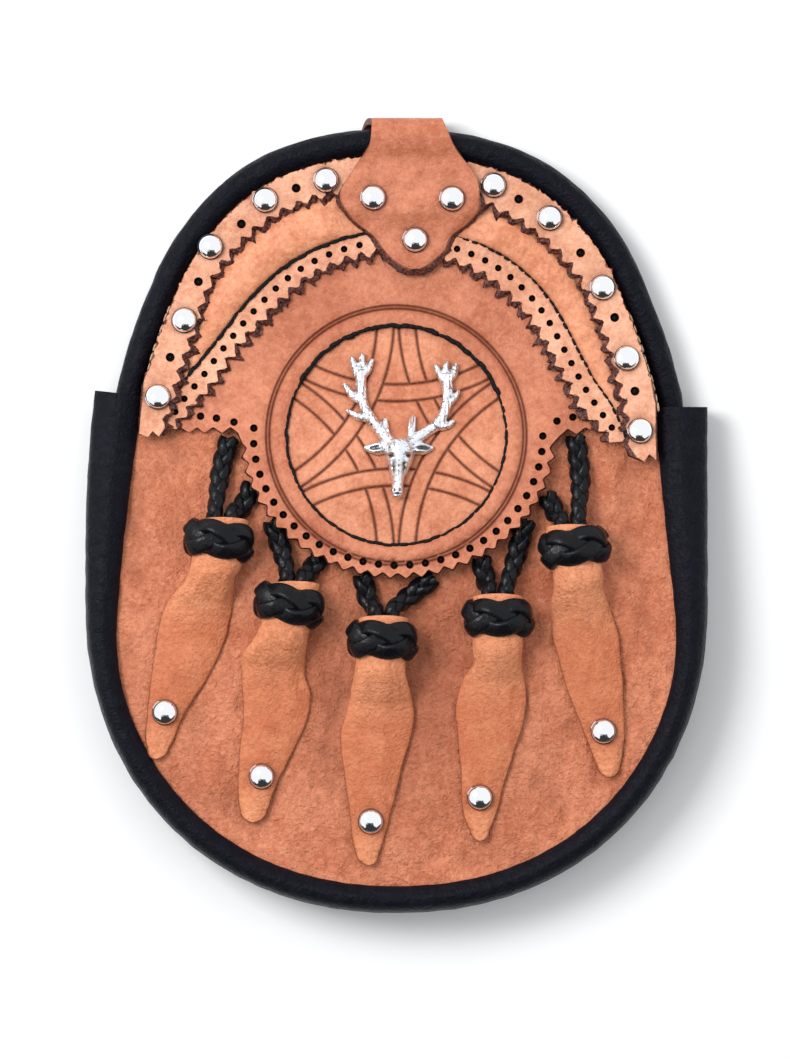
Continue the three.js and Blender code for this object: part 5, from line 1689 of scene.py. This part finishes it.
class SPORRAN_OT_stitching(bpy.types.Operator):
    """Black stitches round the medallion and along the strip, and cream ones beside the rim"""

    bl_idname = "sporran.stitching"
    bl_label = "Stitching"

    def execute(self, context):
        radius = mm("thread") / 2
        flap_top = raised(flap_foot, FLAP_LEATHER - 0.15)
        strip_top = raised(flap_foot, OVERLAY_FOOT + OVERLAY_LEATHER + 0.1)
        rim_top = raised(flap_foot, BAND_FOOT + 0.8)
        window = lambda start, end: polar(np.full(400, ROUNDEL["window"]), np.linspace(start, end, 400))
        seam = lambda start, end: arch_line(SEAM_LINE, start, end, 300)
        beside = lambda start, end: arch_line(RIM_LINE, start, end, 120, RIM["width"] + 0.1)
        rows = [
            # piece, finish, then line, height, length, gap, radius and seed of each row of stitches
            ("medallion_thread", "thread", (window(20, 155), flap_top, 3.2, -1.3, 1.25 * radius, 201),
             (window(145, 392), flap_top, 3.4, -0.9, 0.85 * radius, 202)),
            ("strip_thread", "thread", (seam(96, 176), strip_top, 3.6, -0.9, 1.0 * radius, 203),
             (seam(-1, 74), strip_top, 2.4, 0.3, 0.72 * radius, 204)),
            ("rim_thread", "cream", (beside(5, 30), rim_top, 2.6, 0.5, 0.32, 205),
             (beside(150, 171), rim_top, 2.6, 0.5, 0.32, 205)),
        ]
        for name, look, *parts in rows:
            skin = Skin()
            for part in parts:
                skin.add(*stitches(*part))
            make_piece(name, skin, look, sharp=NO_EDGES)
        return {"FINISHED"}


def studio_sky(world):
    """White all round, with a dark uneven patch toward the object's bottom and a dark strip low below it, as
    where someone stands. Behind the object the backdrop is plain."""
    world.use_nodes = True
    sky = Nodes(world.node_tree)
    place = sky.node("TexCoord", "Generated")
    ragged = sky.node("TexNoise", "Fac", Vector=place, Scale=1.9)
    strength = STUDIO["sky"]
    for toward, low, high in STUDIO["dark_patches"]:
        lean = sky.node("VectorMath", "Value", {"operation": "DOT_PRODUCT"}, _0=place, _1=toward)
        uneven = sky.node("Math", 0, {"operation": "MULTIPLY_ADD"}, _0=ragged, _1=0.5, _2=lean)
        strength = sky.ramp(uneven, low, high, strength, STUDIO["dark"])
    seen = sky.node("LightPath", "Is Camera Ray")
    back = world.node_tree.nodes["Background"]
    world.node_tree.links.new(sky.ramp(seen, 0, 1, strength, STUDIO["backdrop"]), back.inputs["Strength"])
    back.inputs["Color"].default_value = (0.97, 0.985, 1.0, 1.0)


class SPORRAN_OT_stage(bpy.types.Operator):
    """Pale floor, soft light and a camera straight above"""

    bl_idname = "sporran.stage"
    bl_label = "Stage"

    def execute(self, context):
        scene = context.scene
        scene.view_settings.view_transform = "Standard"
        half, depth = STUDIO["floor_half"], STUDIO["floor_depth"]
        mesh = bpy.data.meshes.new("floor")
        corners = [(x * half, y * half, -depth) for x, y in ((-1, -1), (1, -1), (1, 1), (-1, 1))]
        mesh.from_pydata(corners, [], [(0, 1, 2, 3)])
        mesh.materials.append(finish("floor")[1])
        floor = bpy.data.objects.new("floor", mesh)
        scene.collection.objects.link(floor)
        scene.world = bpy.data.worlds.new("studio")
        studio_sky(scene.world)
        light = bpy.data.lights.new("key", "AREA")
        light.shape = "SQUARE"
        light.size, light.energy = STUDIO["key_size"], STUDIO["key_power"]
        lamp = bpy.data.objects.new("key", light)
        lamp.location = STUDIO["key_place"]
        lamp.rotation_euler = (-Vector(STUDIO["key_place"])).to_track_quat("-Z", "Y").to_euler()
        camera = bpy.data.cameras.new("camera")
        camera.sensor_width = 36.0
        camera.lens = camera.sensor_width * STUDIO["camera_height"] / STUDIO["view_tall"]
        eye = bpy.data.objects.new("camera", camera)
        eye.location = (*STUDIO["view_middle"], STUDIO["camera_height"] + 0.02)
        for thing in (lamp, eye):
            scene.collection.objects.link(thing)
        scene.camera = eye
        return {"FINISHED"}


STEPS = (
    SPORRAN_OT_pouch, SPORRAN_OT_rim, SPORRAN_OT_flap, SPORRAN_OT_overlays, SPORRAN_OT_tab, SPORRAN_OT_rivets,
    SPORRAN_OT_stag, SPORRAN_OT_tassels, SPORRAN_OT_stitching, SPORRAN_OT_stage,
)


class SPORRAN_PT_panel(bpy.types.Panel):
    """Sizes, colours and steps of the sporran"""

    bl_idname = "SPORRAN_PT_panel"
    bl_label = "Leather Sporran"
    bl_space_type = "VIEW_3D"
    bl_region_type = "UI"
    bl_category = "Sporran"

    def draw(self, context):
        for group in (context.scene.sporran_sizes, context.scene.sporran_colours):
            box = self.layout.box()
            for name in group.__annotations__:
                box.prop(group, name)
        for step in STEPS:
            self.layout.operator(step.bl_idname)


CLASSES = (SporranSizes, SporranColours, *STEPS, SPORRAN_PT_panel)


def register():
    for one in CLASSES:
        bpy.utils.register_class(one)
    bpy.types.Scene.sporran_sizes = bpy.props.PointerProperty(type=SporranSizes)
    bpy.types.Scene.sporran_colours = bpy.props.PointerProperty(type=SporranColours)


def unregister():
    del bpy.types.Scene.sporran_colours
    del bpy.types.Scene.sporran_sizes
    for one in reversed(CLASSES):
        bpy.utils.unregister_class(one)


def main():
    """Registers the add-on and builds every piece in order."""
    register()
    for step in STEPS:
        group, name = step.bl_idname.split(".")
        getattr(getattr(bpy.ops, group), name)()


if __name__ == "__main__":
    main()
